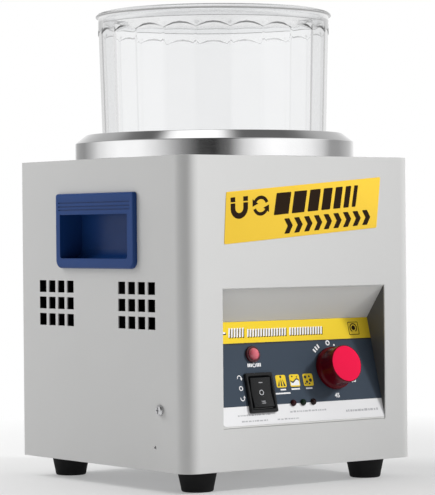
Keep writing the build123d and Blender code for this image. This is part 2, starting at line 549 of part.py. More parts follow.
put("inlet_pins", group([INL * p for p in pins]))
drawer = Pos(0, -11.2, -8.2) * Box(21.8, 6.8, 22.6) + Pos(0, -11.2, 3.4) * Box(24.0, 7.6, 0.8)
drawer -= Pos(0, -11.2, -8.6) * Box(20.0, 5.6, 14.0)
drawer -= Pos(0, -13.4, 3.0) * Box(8.0, 1.4, 3.0)
put("fuse_drawer", INL * drawer)
put("cartridge_fuse", INL * (Pos(0, -11.2, -8.6) * Rot(0, 90, 0) * Cylinder(2.5, 19.6)))
put("inlet_screws", group([INL * Pos(sx * 20.0, 0, 3.0) * pan_screw(2.9, 1.9, 1.6, 9.0) for sx in (-1, 1)]))

# ---------------------------------------------------------------------------
# speed and direction control board
# ---------------------------------------------------------------------------
PB = (-100.0, -20.0, 18.0, 98.0)       # x0, x1, y0, y1
ZPB = Z_BOT + T + 12
pcb = box(PB[0], PB[1], PB[2], PB[3], ZPB, ZPB + 1.6)
pts = [(PB[0] + 5, PB[2] + 5), (PB[1] - 5, PB[2] + 5), (PB[0] + 5, PB[3] - 5), (PB[1] - 5, PB[3] - 5)]
for x, y in pts:
    pcb -= cyl(1.6, ZPB - 2, ZPB + 5, x, y)
put("control_board", pcb)
put("board_posts", group([cyl(3.0, Z_BOT + T, ZPB, x, y) for x, y in pts]))
tr = box(-92, -58, 56, 92, ZPB + 1.6, ZPB + 30)
put("board_transformer", try_fillet(tr, edges_along(tr, Axis.Z), 2))
put("board_capacitors", group([cyl(9.0, ZPB + 1.6, ZPB + 33, -36, 80), cyl(9.0, ZPB + 1.6, ZPB + 33, -36, 56),
                               cyl(6.0, ZPB + 1.6, ZPB + 22, -60, 36)]))

for name, item in parts.items():
    solids = item.solids()
    shape = solids[0] if len(solids) == 1 else Compound(children=list(solids))
    shape.label = name
    export_step(shape, f"parts/{name}.step")
print(len(parts), "nodes")
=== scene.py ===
import math
import random
import bpy
import bmesh
from mathutils import Vector, Matrix


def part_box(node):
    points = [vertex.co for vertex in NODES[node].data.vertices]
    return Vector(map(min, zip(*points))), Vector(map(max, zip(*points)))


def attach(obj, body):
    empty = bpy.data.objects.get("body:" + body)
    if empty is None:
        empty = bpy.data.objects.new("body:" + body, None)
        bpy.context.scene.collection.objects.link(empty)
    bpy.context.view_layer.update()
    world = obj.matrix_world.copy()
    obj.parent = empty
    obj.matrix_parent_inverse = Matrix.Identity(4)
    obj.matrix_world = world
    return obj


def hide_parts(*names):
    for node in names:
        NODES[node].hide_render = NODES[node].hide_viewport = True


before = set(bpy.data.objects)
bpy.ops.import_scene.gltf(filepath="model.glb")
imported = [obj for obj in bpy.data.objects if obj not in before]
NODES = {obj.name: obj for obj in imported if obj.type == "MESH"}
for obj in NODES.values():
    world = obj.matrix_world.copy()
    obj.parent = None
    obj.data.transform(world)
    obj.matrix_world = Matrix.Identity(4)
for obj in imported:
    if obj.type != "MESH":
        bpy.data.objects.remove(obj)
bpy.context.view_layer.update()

MM = 0.001
scene = bpy.context.scene
pi, sin, cos, rad = math.pi, math.sin, math.cos, math.radians


# ============================================================ small helpers
def link(obj):
    scene.collection.objects.link(obj)
    return obj


def new_obj(name, bm, smooth=True):
    """Object from a bmesh built in millimetres."""
    me = bpy.data.meshes.new(name)
    bmesh.ops.scale(bm, vec=(MM, MM, MM), verts=bm.verts)
    bm.normal_update()
    bm.to_mesh(me)
    bm.free()
    for p in me.polygons:
        p.use_smooth = smooth
    return link(bpy.data.objects.new(name, me))


def setmat(obj, mat):
    obj.data.materials.clear()
    obj.data.materials.append(mat)
    return obj


def finish_piece(obj, body, mat=None, replaces=()):
    if mat is not None:
        setmat(obj, mat)
    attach(obj, body)
    if replaces:
        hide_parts(*replaces)
    return obj


def lathe(name, profile, seg=192, ref=None, sharp=None):
    """Closed surface of revolution about local Z. profile: [(r, z)], r may be 0 at the ends."""
    bm = bmesh.new()
    rings = []
    for r, z in profile:
        if r < 1e-6:
            rings.append([bm.verts.new((0, 0, z))])
        else:
            rings.append([bm.verts.new((r * cos(2 * pi * k / seg), r * sin(2 * pi * k / seg), z)) for k in range(seg)])
    n = len(rings)
    closed = profile[0][0] > 1e-6 and profile[-1][0] > 1e-6
    pairs = [(i, i + 1) for i in range(n - 1)] + ([(n - 1, 0)] if closed else [])
    for a, b in pairs:
        A, B = rings[a], rings[b]
        for k in range(seg):
            k2 = (k + 1) % seg
            if len(A) == 1 and len(B) == 1:
                continue
            if len(A) == 1:
                bm.faces.new((A[0], B[k], B[k2]))
            elif len(B) == 1:
                bm.faces.new((A[k], B[0], A[k2]))
            else:
                bm.faces.new((A[k], B[k], B[k2], A[k2]))
    bmesh.ops.recalc_face_normals(bm, faces=bm.faces)
    if ref is not None:
        bm.transform(ref)
    return new_obj(name, bm)


def rounded_profile(pts, radii, n=5, closed=True, guard=False):
    """Rounds the corners of a polygon in the plane; radii per point."""
    out = []
    m = len(pts)
    for i, (p, r) in enumerate(zip(pts, radii)):
        p = Vector(p)
        if not closed and i in (0, m - 1) or r <= 0:
            out.append(tuple(p))
            continue
        a = Vector(pts[i - 1]) - p
        b = Vector(pts[(i + 1) % m]) - p
        la, lb = a.length, b.length
        a.normalize()
        b.normalize()
        ang = a.angle(b)
        t = min(r / math.tan(ang / 2), la * 0.49, lb * 0.49)
        rr = t * math.tan(ang / 2)
        c = p + (a + b).normalized() * (rr / sin(ang / 2))
        s, e = p + a * t - c, p + b * t - c
        tot = s.angle(e)
        sign = 1 if s.x * e.y - s.y * e.x > 0 else -1
        if guard and la > t * 2.3:
            out.append(tuple(p + a * t * 1.12))
        for k in range(n + 1):
            th = sign * tot * k / n
            out.append((c.x + s.x * cos(th) - s.y * sin(th), c.y + s.x * sin(th) + s.y * cos(th)))
        if guard and lb > t * 2.3:
            out.append(tuple(p + b * t * 1.12))
    return out


def outline(w, h, r, n=6, cx=0.0, cy=0.0):
    """Rounded rectangle outline, counter-clockwise."""
    rs = r if isinstance(r, (list, tuple)) else (r, r, r, r)
    pts = [(cx - w / 2, cy - h / 2), (cx + w / 2, cy - h / 2), (cx + w / 2, cy + h / 2), (cx - w / 2, cy + h / 2)]
    return rounded_profile(pts, rs, n)


def circle2(r, n=64, cx=0.0, cy=0.0):
    return [(cx + r * cos(2 * pi * k / n), cy + r * sin(2 * pi * k / n)) for k in range(n)]


def plate(name, loop, z0, z1, ref, bevel=0.0, seg=2, smooth=True):
    """Prism over a 2-D loop between two heights, top edge bevelled, placed by a matrix (mm)."""
    bm = bmesh.new()
    bot = [bm.verts.new((x, y, z0)) for x, y in loop]
    top = [bm.verts.new((x, y, z1)) for x, y in loop]
    n = len(loop)
    for k in range(n):
        bm.faces.new((bot[k], bot[(k + 1) % n], top[(k + 1) % n], top[k]))
    ft = bm.faces.new(top)
    bm.faces.new(list(reversed(bot)))
    bmesh.ops.recalc_face_normals(bm, faces=bm.faces)
    if bevel > 0:
        bmesh.ops.bevel(bm, geom=list(ft.edges), offset=bevel, segments=seg, profile=0.5, affect="EDGES", clamp_overlap=True)
    bm.transform(ref)
    o = new_obj(name, bm, smooth)
    if smooth:
        hard_edges(o, 35)
    return o


def hard_edges(obj, deg):
    """Sharp edges above an angle, smooth elsewhere."""
    me = obj.data
    bm = bmesh.new()
    bm.from_mesh(me)
    lim = rad(deg)
    for e in bm.edges:
        if len(e.link_faces) == 2:
            e.smooth = e.calc_face_angle(0.0) < lim
    for f in bm.faces:
        f.smooth = True
    bm.to_mesh(me)
    bm.free()


def refine(node, name, bevel=0.25, seg=2, angle=32, dissolve=1.0):
    """Same shape as a CAD node, with its flat faces merged and its sharp edges broken by a small radius."""
    src = NODES[node].data
    bm = bmesh.new()
    bm.from_mesh(src)
    bmesh.ops.remove_doubles(bm, verts=bm.verts, dist=2e-6)
    if dissolve > 0:
        bmesh.ops.dissolve_limit(bm, angle_limit=rad(dissolve), verts=bm.verts, edges=bm.edges)
    bmesh.ops.recalc_face_normals(bm, faces=bm.faces)
    me = bpy.data.meshes.new(name)
    bm.to_mesh(me)
    bm.free()
    for p in me.polygons:
        p.use_smooth = True
    o = link(bpy.data.objects.new(name, me))
    hard_edges(o, angle)
    if bevel > 0:
        m = o.modifiers.new("edge_round", "BEVEL")
        m.width = bevel * MM
        m.segments = seg
        m.limit_method = "ANGLE"
        m.angle_limit = rad(angle)
        m.harden_normals = True
        m.use_clamp_overlap = True
        m.miter_outer = "MITER_ARC"
    return o


def frame_matrix(origin, x, y, z):
    return Matrix(((x[0], y[0], z[0], origin[0]), (x[1], y[1], z[1], origin[1]), (x[2], y[2], z[2], origin[2]), (0, 0, 0, 1)))


# ============================================================ measures (mm, row frame)
W, D, T = 235.0, 235.0, 1.2
Z_BOT, Z_TOP = 16.8, 266.2
U0, U1 = -81.0, 86.3
ZR0, ZR1, DEPTH, ZPT = 50.3, 160.8, 22.5, 133.8
LP = math.hypot(DEPTH, ZPT - ZR0)
SV = (0.0, DEPTH / LP, (ZPT - ZR0) / LP)
SN = (0.0, -(ZPT - ZR0) / LP, DEPTH / LP)
PANEL = frame_matrix((0, -D / 2, ZR0), (1, 0, 0), SV, SN)
FRONT = frame_matrix((0, -D / 2, 0), (1, 0, 0), (0, 0, 1), (0, -1, 0))
LEFT = frame_matrix((-W / 2, 0, 0), (0, -1, 0), (0, 0, 1), (-1, 0, 0))
RIGHT = frame_matrix((W / 2, 0, 0), (0, 1, 0), (0, 0, 1), (1, 0, 0))
REAR = frame_matrix((0, D / 2 + T, 0), (-1, 0, 0), (0, 0, 1), (0, 1, 0))


def at(base, x, y, z=0.0, rot=0.0):
    return base @ Matrix.Translation((x, y, z)) @ Matrix.Rotation(rot, 4, "Z")


# ============================================================ materials
def srgb(r, g, b):
    def f(c):
        c /= 255.0
        return c / 12.92 if c <= 0.04045 else ((c + 0.055) / 1.055) ** 2.4
    return (f(r), f(g), f(b))


class Mat:
    """Principled material with noise-driven colour, roughness and bump."""

    def __init__(self, name):
        self.m = bpy.data.materials.new(name)
        self.m.use_nodes = True
        self.nt = self.m.node_tree
        self.n = self.nt.nodes
        self.b = self.n["Principled BSDF"]
        self.tc = self.n.new("ShaderNodeTexCoord")
        self.m.diffuse_color = (0.5, 0.5, 0.5, 1)

    def link(self, a, b):
        self.nt.links.new(a, b)

    def set(self, **kw):
        names = {"rough": "Roughness", "metal": "Metallic", "ior": "IOR", "spec": "Specular IOR Level", "coat": "Coat Weight",
                 "coat_rough": "Coat Roughness", "trans": "Transmission Weight", "sheen": "Sheen Weight", "alpha": "Alpha",
                 "aniso": "Anisotropic", "sss": "Subsurface Weight", "sss_scale": "Subsurface Scale", "coat_ior": "Coat IOR"}
        for k, v in kw.items():
            self.b.inputs[names[k]].default_value = v
        return self

    def mapping(self, scale=(1, 1, 1), rot=(0, 0, 0), loc=(0, 0, 0)):
        mp = self.n.new("ShaderNodeMapping")
        mp.inputs["Scale"].default_value = scale
        mp.inputs["Rotation"].default_value = rot
        mp.inputs["Location"].default_value = loc
        self.link(self.tc.outputs["Object"], mp.inputs["Vector"])
        return mp.outputs["Vector"]

    def noise(self, scale, detail=3.0, rough=0.5, vec=None, distort=0.0):
        t = self.n.new("ShaderNodeTexNoise")
        t.inputs["Scale"].default_value = scale
        t.inputs["Detail"].default_value = detail
        t.inputs["Roughness"].default_value = rough
        t.inputs["Distortion"].default_value = distort
        self.link(vec if vec is not None else self.tc.outputs["Object"], t.inputs["Vector"])
        return t.outputs["Fac"]

    def voronoi(self, scale, vec=None):
        t = self.n.new("ShaderNodeTexVoronoi")
        t.inputs["Scale"].default_value = scale
        self.link(vec if vec is not None else self.tc.outputs["Object"], t.inputs["Vector"])
        return t.outputs["Distance"]

    def ramp(self, fac, stops):
        r = self.n.new("ShaderNodeValToRGB")
        els = r.color_ramp.elements
        while len(els) > 1:
            els.remove(els[-1])
        els[0].position = stops[0][0]
        els[0].color = (*stops[0][1], 1)
        for p, c in stops[1:]:
            e = els.new(p)
            e.color = (*c, 1)
        self.link(fac, r.inputs["Fac"])
        return r.outputs["Color"]

    def math(self, op, a, b=None, clamp=False):
        m = self.n.new("ShaderNodeMath")
        m.operation = op
        m.use_clamp = clamp
        for i, v in enumerate((a, b)):
            if v is None:
                continue
            if isinstance(v, (int, float)):
                m.inputs[i].default_value = v
            else:
                self.link(v, m.inputs[i])
        return m.outputs[0]

    def maprange(self, v, a, b, c, d):
        m = self.n.new("ShaderNodeMapRange")
        self.link(v, m.inputs["Value"])
        for k, x in zip(("From Min", "From Max", "To Min", "To Max"), (a, b, c, d)):
            m.inputs[k].default_value = x
        return m.outputs["Result"]

    def mix(self, fac, a, b, mode="MIX"):
        m = self.n.new("ShaderNodeMix")
        m.data_type = "RGBA"
        m.blend_type = mode
        for v, s in ((fac, m.inputs[0]), (a, m.inputs[6]), (b, m.inputs[7])):
            if isinstance(v, (int, float)):
                s.default_value = v
            elif isinstance(v, tuple):
                s.default_value = (*v, 1) if len(v) == 3 else v
            else:
                self.link(v, s)
        return m.outputs[2]

    def color(self, out):
        self.link(out, self.b.inputs["Base Color"])
        return self

    def rough(self, out):
        self.link(out, self.b.inputs["Roughness"])
        return self

    def bump(self, height, strength=0.1, dist=0.0001, prev=None):
        b = self.n.new("ShaderNodeBump")
        b.inputs["Strength"].default_value = strength
        b.inputs["Distance"].default_value = dist
        self.link(height, b.inputs["Height"])
        if prev is not None:
            self.link(prev, b.inputs["Normal"])
        self.link(b.outputs["Normal"], self.b.inputs["Normal"])
        return b.outputs["Normal"]


def vary(c, k):
    return tuple(max(0.0, min(1.0, x * k)) for x in c)


def plastic(name, rgb, rough=0.4, grain=900, grain_amt=0.12, spec=0.5, var=0.06, coat=0.0, wear=0.0):
    """Moulded plastic: fine spark-eroded grain, slight colour drift, uneven gloss."""
    m = Mat(name)
    m.set(spec=spec, coat=coat)
    big = m.noise(22, 3)
    fine = m.noise(grain * 2.2, 2)
    mixed = m.math("MULTIPLY_ADD", fine, 0.35)
    m.nt.nodes[-1].inputs[2].default_value = 0.0
    total = m.math("ADD", m.math("MULTIPLY", big, 0.65), mixed)
    m.color(m.ramp(total, [(0.25, vary(rgb, 1 - var)), (0.75, vary(rgb, 1 + var))]))
    m.rough(m.maprange(m.noise(60, 4), 0.2, 0.8, max(0.02, rough - 0.06), min(1, rough + 0.07)))
    m.bump(m.noise(grain, 3, 0.6), grain_amt, 0.0001)
    return m.m


def metal(name, rgb, rough=0.25, brushed=(1, 1, 1), scale=400, bump=0.05, var=0.05):
    """Bare metal with direction-stretched grain."""
    m = Mat(name)
    m.set(metal=1.0)
    v = m.mapping(scale=brushed)
    grain = m.noise(scale, 5, 0.6, vec=v)
    m.color(m.ramp(m.noise(30, 3), [(0.25, vary(rgb, 1 - var)), (0.75, vary(rgb, 1 + var * 0.6))]))
    m.rough(m.maprange(grain, 0.2, 0.8, max(0.02, rough * 0.75), rough * 1.3))
    m.bump(grain, bump, 0.00008)
    return m.m


def cabinet_paint(name, rgb, metal=0.15):
    m = Mat(name)
    m.set(spec=0.3, coat=0.0, metal=metal)
    peel = m.noise(520, 2, 0.45)
    micro = m.noise(2600, 2, 0.6)
    big = m.noise(5.5, 3)
    fleck = m.noise(4200, 1, 0.5)
    tone = m.math("ADD", m.math("MULTIPLY", big, 0.5), m.math("MULTIPLY", fleck, 0.5))
    m.color(m.ramp(tone, [(0.3, vary(rgb, 0.965)), (0.7, vary(rgb, 1.025))]))
    m.rough(m.maprange(m.noise(40, 4), 0.25, 0.75, 0.36, 0.46))
    b1 = m.bump(peel, 0.10, 0.0001)
    m.bump(micro, 0.06, 0.00004, prev=b1)
    return m.m


PAINT = cabinet_paint("cabinet_paint_grey", (0.585, 0.585, 0.580))
PAINT_PAN = cabinet_paint("recess_paint_grey", (0.610, 0.610, 0.600), 0.0)
CHEEK = plastic("cheek_dark_grey", srgb(87, 87, 86), rough=0.55, grain=1400, grain_amt=0.16, var=0.08)
BLUE = plastic("handle_blue_plastic", (0.009, 0.044, 0.175), rough=0.33, spec=0.22, grain=1300, grain_amt=0.10, var=0.07)
BLACK = plastic("black_gloss_plastic", (0.008, 0.0085, 0.0095), rough=0.28, spec=0.28, grain=1800, grain_amt=0.08, var=0.15)
BLACK_MATTE = plastic("black_matte_plastic", (0.014, 0.014, 0.015), rough=0.55, grain=1500, grain_amt=0.2, var=0.15)
YELLOW = plastic("label_vinyl_yellow", (0.83, 0.55, 0.045), rough=0.42, spec=0.2, grain=700, grain_amt=0.035, var=0.025)
YELLOW_STRIP = plastic("overlay_yellow", (0.80, 0.575, 0.030), rough=0.40, spec=0.2, grain=1600, grain_amt=0.06, var=0.02)
SLATE = plastic("overlay_slate", (0.045, 0.061, 0.084), rough=0.42, spec=0.12, grain=1600, grain_amt=0.08, var=0.05)
WHITE_STRIP = plastic("overlay_white", (0.74, 0.74, 0.75), rough=0.42, spec=0.2, grain=1600, grain_amt=0.06, var=0.015)
INK_DARK = plastic("ink_dark", srgb(36, 23, 11), rough=0.5, spec=0.1, grain=1500, grain_amt=0.05, var=0.10)
INK_BLACK = plastic("ink_black", (0.016, 0.018, 0.022), rough=0.45, grain=1500, grain_amt=0.05, var=0.12)
INK_WHITE = plastic("ink_white", (0.80, 0.80, 0.81), rough=0.45, grain=1500, grain_amt=0.05, var=0.02)
INK_GREY = plastic("ink_grey", (0.42, 0.42, 0.44), rough=0.45, grain=1500, grain_amt=0.05, var=0.04)
KNOB_FACE = plastic("knob_face_red", (0.78, 0.010, 0.062), rough=0.5, spec=0.06, grain=900, grain_amt=0.05, var=0.03)
KNOB_BODY = plastic("knob_body_red", (0.085, 0.0008, 0.005), rough=0.22, spec=0.16, grain=1200, grain_amt=0.06, var=0.08)
RUBBER = plastic("foot_rubber", (0.010, 0.010, 0.0105), rough=0.72, grain=1600, grain_amt=0.35, var=0.2, spec=0.15)
SCREW = metal("screw_steel", (0.62, 0.62, 0.63), rough=0.28, brushed=(1, 1, 1), scale=1500, bump=0.05)
ZINC = metal("zinc_sheet", (0.58, 0.59, 0.60), rough=0.38, brushed=(1, 12, 1), scale=220, bump=0.05, var=0.10)
SEAT = metal("seat_steel", (0.66, 0.66, 0.67), rough=0.22, brushed=(1, 14, 1), scale=260, bump=0.05)
BRASS = metal("contact_brass", (0.72, 0.52, 0.22), rough=0.26, scale=900, bump=0.04)
NICKEL = metal("magnet_nickel", (0.68, 0.66, 0.62), rough=0.16, scale=700, bump=0.03)
ALU = metal("disc_aluminium", (0.78, 0.78, 0.79), rough=0.30, brushed=(1, 1, 1), scale=500, bump=0.06)
LAMIN = metal("lamination_steel", (0.30, 0.29, 0.28), rough=0.45, brushed=(1, 1, 60), scale=120, bump=0.25)
MOTOR = plastic("motor_enamel", (0.045, 0.047, 0.052), rough=0.42, grain=600, grain_amt=0.18, var=0.15)
BOARD = plastic("board_green", (0.012, 0.11, 0.045), rough=0.35, grain=500, grain_amt=0.12, var=0.25)
TRAFO = plastic("transformer_tape", (0.36, 0.24, 0.05), rough=0.5, grain=300, grain_amt=0.25, var=0.2)
CAPS = plastic("capacitor_sleeve", (0.02, 0.03, 0.09), rough=0.25, grain=700, grain_amt=0.05, var=0.1)


def polished(name):
    """Lathe-turned and polished ring: concentric tool marks, faint haze, near-mirror."""
    m = Mat(name)
    m.set(metal=1.0)
    sep = m.n.new("ShaderNodeSeparateXYZ")
    m.link(m.tc.outputs["Object"], sep.inputs[0])
    x2 = m.math("MULTIPLY", sep.outputs["X"], sep.outputs["X"])
    y2 = m.math("MULTIPLY", sep.outputs["Y"], sep.outputs["Y"])
    r = m.math("SQRT", m.math("ADD", x2, y2))
    comb = m.n.new("ShaderNodeCombineXYZ")
    m.link(r, comb.inputs["X"])
    m.link(sep.outputs["Z"], comb.inputs["Y"])
    lines = m.noise(2600, 3, 0.6, vec=comb.outputs[0])
    haze = m.noise(24, 4)
    m.color(m.ramp(haze, [(0.3, (0.80, 0.80, 0.805)), (0.7, (0.90, 0.90, 0.905))]))
    m.rough(m.maprange(m.math("ADD", m.math("MULTIPLY", lines, 0.6), m.math("MULTIPLY", haze, 0.4)), 0.3, 0.7, 0.055, 0.13))
    m.bump(lines, 0.035, 0.00003)
    return m.m


CHROME = polished("collar_polished")


def clear(name, tint=(0.972, 0.976, 0.98), rough=0.014, ior=1.47, wave=0.006, painted_lip_shade=None):
    m = Mat(name)
    m.set(trans=1.0, ior=ior)
    if painted_lip_shade:
        # painted shade: the moulding's lower lip and the foot of its plug are darkened by position, standing for the
        # dark line along the lid's edge
        z_lip, r_lip, z_plug = painted_lip_shade
        sep = m.n.new("ShaderNodeSeparateXYZ")
        m.link(m.tc.outputs["Object"], sep.inputs[0])
        r = m.math("SQRT", m.math("ADD", m.math("MULTIPLY", sep.outputs["X"], sep.outputs["X"]), m.math("MULTIPLY", sep.outputs["Y"], sep.outputs["Y"])))
        k = m.math("MULTIPLY", m.maprange(sep.outputs["Z"], z_lip, z_lip + 0.0004, 1.0, 0.0), m.math("GREATER_THAN", r, r_lip))
        k = m.math("MAXIMUM", k, m.maprange(sep.outputs["Z"], z_plug, z_plug + 0.0005, 0.45, 0.0))
        k = m.math("ADD", m.math("MULTIPLY", k, 0.96), m.math("MULTIPLY", m.noise(16, 3), 0.03))
        # painted shade: the clear colour falls to 66 % and then 14 % where the mask is strong
        m.color(m.ramp(k, [(0.0, tint), (0.5, vary(tint, 0.66)), (0.95, vary(tint, 0.14))]))
    else:
        m.color(m.ramp(m.noise(16, 3), [(0.3, vary(tint, 0.985)), (0.7, tint)]))
    m.rough(m.maprange(m.noise(90, 4), 0.25, 0.8, rough * 0.5, rough * 2.2))
    m.bump(m.noise(28, 2), wave, 0.0006)
    return m.m


CLEAR = clear("clear_polycarbonate")
# painted shade on the lid's lower lip and the foot of its plug
CLEAR_LID = clear("clear_lid", rough=0.025, painted_lip_shade=(0.3869, 0.0970, 0.3809))
LENS = clear("lens_red", tint=(0.62, 0.10, 0.13), rough=0.12, ior=1.45)
FUSEGLASS = clear("fuse_glass", rough=0.02)

# painted shade: near-black for the inside faces of the cabinet sheets, standing for the dark interior seen through the
# openings
INNER_SHADE = plastic("inner_painted_shade", (0.012, 0.012, 0.013), rough=0.6, grain=900, grain_amt=0.2, var=0.15, spec=0.1)


def shaded_inside(name, src, node):
    """The same paint outside, painted shade in near-black on everything inside the outer face of a rear sheet."""
    m = src.copy()
    m.name = name
    n = m.node_tree.nodes
    b = next(q for q in n if q.type == "BSDF_PRINCIPLED")
    old = b.inputs["Base Color"].links[0].from_socket
    tc_ = n.new("ShaderNodeTexCoord")
    sp = n.new("ShaderNodeSeparateXYZ")
    m.node_tree.links.new(tc_.outputs["Object"], sp.inputs[0])
    lt = n.new("ShaderNodeMath")
    lt.operation = "LESS_THAN"
    lt.inputs[1].default_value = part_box(node)[1][1] - 0.0006
    m.node_tree.links.new(sp.outputs["Y"], lt.inputs[0])
    mi = n.new("ShaderNodeMix")
    mi.data_type = "RGBA"
    # painted shade colour for everything inside the rear sheet's outer face
    mi.inputs[7].default_value = (0.012, 0.012, 0.013, 1)
    m.node_tree.links.new(lt.outputs[0], mi.inputs[0])
    m.node_tree.links.new(old, mi.inputs[6])
    m.node_tree.links.new(mi.outputs[2], b.inputs["Base Color"])
    return m


PAINT_REAR = shaded_inside("cabinet_paint_rear", PAINT, "rear_panel")

NODE_MATS = {
    "housing_shell": PAINT, "top_deck": PAINT, "rear_panel": PAINT_REAR, "console_pan": PAINT_PAN, "base_tray": ZINC,
    "motor_plate": ZINC, "collar_ring": CHROME, "barrel_seat": SEAT, "tumbling_barrel": CLEAR, "barrel_lid": CLEAR_LID,
    "carry_handle_left": BLUE, "carry_handle_right": BLUE, "front_label": YELLOW, "console_cheek_left": CHEEK,
    "console_cheek_right": CHEEK, "panel_overlay": SLATE, "rocker_bezel": BLACK, "rocker_actuator": BLACK,
    "rocker_terminals": BRASS, "timer_knob": KNOB_BODY, "timer_shaft": SCREW, "timer_body": BLACK_MATTE, "timer_nut": SCREW,
    "lamp_bezel": BLACK, "lamp_lens": LENS, "status_leds": BLACK, "rubber_feet": RUBBER, "foot_screws": SCREW,
    "foot_nuts": SCREW, "side_screws": SCREW, "rear_screws": SCREW, "collar_screws": SCREW, "plate_standoffs": BRASS,
    "standoff_screws": SCREW, "motor_casing": MOTOR, "motor_bell_top": MOTOR, "motor_bell_bottom": MOTOR,
    "motor_stator": LAMIN, "motor_armature": LAMIN, "motor_shaft": SCREW, "bearing_top": NICKEL, "bearing_bottom": NICKEL,
    "motor_screws": SCREW, "disc_hub": ALU, "magnet_disc": ALU, "disc_magnets": NICKEL, "hub_screws": SCREW,
    "fan_frame": BLACK_MATTE, "fan_impeller": BLACK_MATTE, "fan_guard": NICKEL, "fan_screws": SCREW,
    "inlet_socket": BLACK_MATTE, "inlet_pins": BRASS, "fuse_drawer": BLACK_MATTE, "cartridge_fuse": FUSEGLASS,
    "inlet_screws": SCREW, "control_board": BOARD, "board_posts": BRASS, "board_transformer": TRAFO,
    "board_capacitors": CAPS,
}
for name, o in NODES.items():
    o.data.materials.clear()
    o.data.materials.append(NODE_MATS[name])


# ============================================================ cabinet sheet metal, edges broken
def sheet(name, s_stops, z_stops, windows, rounds, place, bevel=0.22):
    """Sheet as a grid of cells between stations s and z. windows: (s0, s1, z0, z1) cut out; rounds: (s, z, r) drilled.
    place(s, side) gives (x, y) of the outer (side 0) or inner (side 1) face."""
    S, Z = set(s_stops), set(z_stops)
    for a, b, c, d in windows:
        S.update((a, b))
        Z.update((c, d))
    pads = []
    for a, c, r in rounds:
        q = r * 1.7
        pads.append((a - q, a + q, c - q, c + q))
        S.update((a - q, a + q))
        Z.update((c - q, c + q))

    def clean(vals):
        out = []
        for v in sorted(vals):
            if not out or v - out[-1] > 1e-4:
                out.append(v)
        return out

    S, Z = clean(S), clean(Z)
    bm = bmesh.new()
    V = [[[bm.verts.new((*place(sv, side), zv)) for zv in Z] for sv in S] for side in (0, 1)]

    def inside(boxes, i, j):
        cs, cz = (S[i] + S[i + 1]) / 2, (Z[j] + Z[j + 1]) / 2
        for k, (a, b, c, d) in enumerate(boxes):
            if a < cs < b and c < cz < d:
                return k
        return -1

    ni, nj = len(S) - 1, len(Z) - 1
    full = [[inside(windows, i, j) < 0 for j in range(nj)] for i in range(ni)]
    pad = [[inside(pads, i, j) for j in range(nj)] for i in range(ni)]
    for i in range(ni):
        for j in range(nj):
            if not full[i][j]:
                continue
            if pad[i][j] < 0:
                for side in (0, 1):
                    v = V[side]
                    q = (v[i][j], v[i + 1][j], v[i + 1][j + 1], v[i][j + 1])
                    bm.faces.new(q if side == 0 else tuple(reversed(q)))
            for di, dj, e in ((-1, 0, ((i, j), (i, j + 1))), (1, 0, ((i + 1, j), (i + 1, j + 1))),
                              (0, -1, ((i, j), (i + 1, j))), (0, 1, ((i, j + 1), (i + 1, j + 1)))):
                a, b = i + di, j + dj
                if 0 <= a < ni and 0 <= b < nj and full[a][b]:
                    continue
                (i0, j0), (i1, j1) = e
                bm.faces.new((V[0][i0][j0], V[0][i1][j1], V[1][i1][j1], V[1][i0][j0]))
    m = 16
    for k, (a, c, r) in enumerate(rounds):
        cells = [(i, j) for i in range(ni) for j in range(nj) if pad[i][j] == k]
        i0, i1 = min(i for i, _ in cells), max(i for i, _ in cells) + 1
        j0, j1 = min(j for _, j in cells), max(j for _, j in cells) + 1
        border = [(i, j0) for i in range(i0, i1)] + [(i1, j) for j in range(j0, j1)] + \
                 [(i, j1) for i in range(i1, i0, -1)] + [(i0, j) for j in range(j1, j0, -1)]
        circ = [[], []]
        for side in (0, 1):
            for t in range(m):
                th = rad(225) + 2 * pi * t / m
                circ[side].append(bm.verts.new((*place(a + r * cos(th), side), c + r * sin(th))))
        nb = len(border)
        for side in (0, 1):
            fs = []
            jb = 0
            ang = [math.atan2(Z[q[1]] - c, S[q[0]] - a) for q in border]
            own = []
            for t in range(m):
                th = rad(225) + 2 * pi * (t + 0.5) / m
                own.append(min(range(nb), key=lambda w: abs((ang[w] - th + pi) % (2 * pi) - pi)))
            for t in range(m):
                w = own[t]
                fs.append((V[side][border[w][0]][border[w][1]], circ[side][t], circ[side][(t + 1) % m]))
                w2 = own[(t + 1) % m]
                steps = (w2 - w) % nb
                for u in range(steps):
                    p_, q_ = border[(w + u) % nb], border[(w + u + 1) % nb]
                    fs.append((V[side][p_[0]][p_[1]], circ[side][(t + 1) % m], V[side][q_[0]][q_[1]]))
            for f in fs:
                bm.faces.new(f)
        for t in range(m):
            t2 = (t + 1) % m
            bm.faces.new((circ[0][t], circ[0][t2], circ[1][t2], circ[1][t]))
    loose = [v for v in bm.verts if not v.link_faces]
    bmesh.ops.delete(bm, geom=loose, context="VERTS")
    bmesh.ops.recalc_face_normals(bm, faces=bm.faces)
    o = new_obj(name, bm)
    hard_edges(o, 32)
    if bevel > 0:
        mo = o.modifiers.new("edge_round", "BEVEL")
        mo.width = bevel * MM
        mo.segments = 2
        mo.limit_method = "ANGLE"
        mo.angle_limit = rad(40)
    mo = o.modifiers.new("flat_faces", "WEIGHTED_NORMAL")
    mo.keep_sharp = True
    return o


R_FRONT = 13.0
H2 = W / 2
XR = H2 - T - 12.0
KB_ = 6.0                        # short run beside each rear corner
ARC = R_FRONT * pi / 2


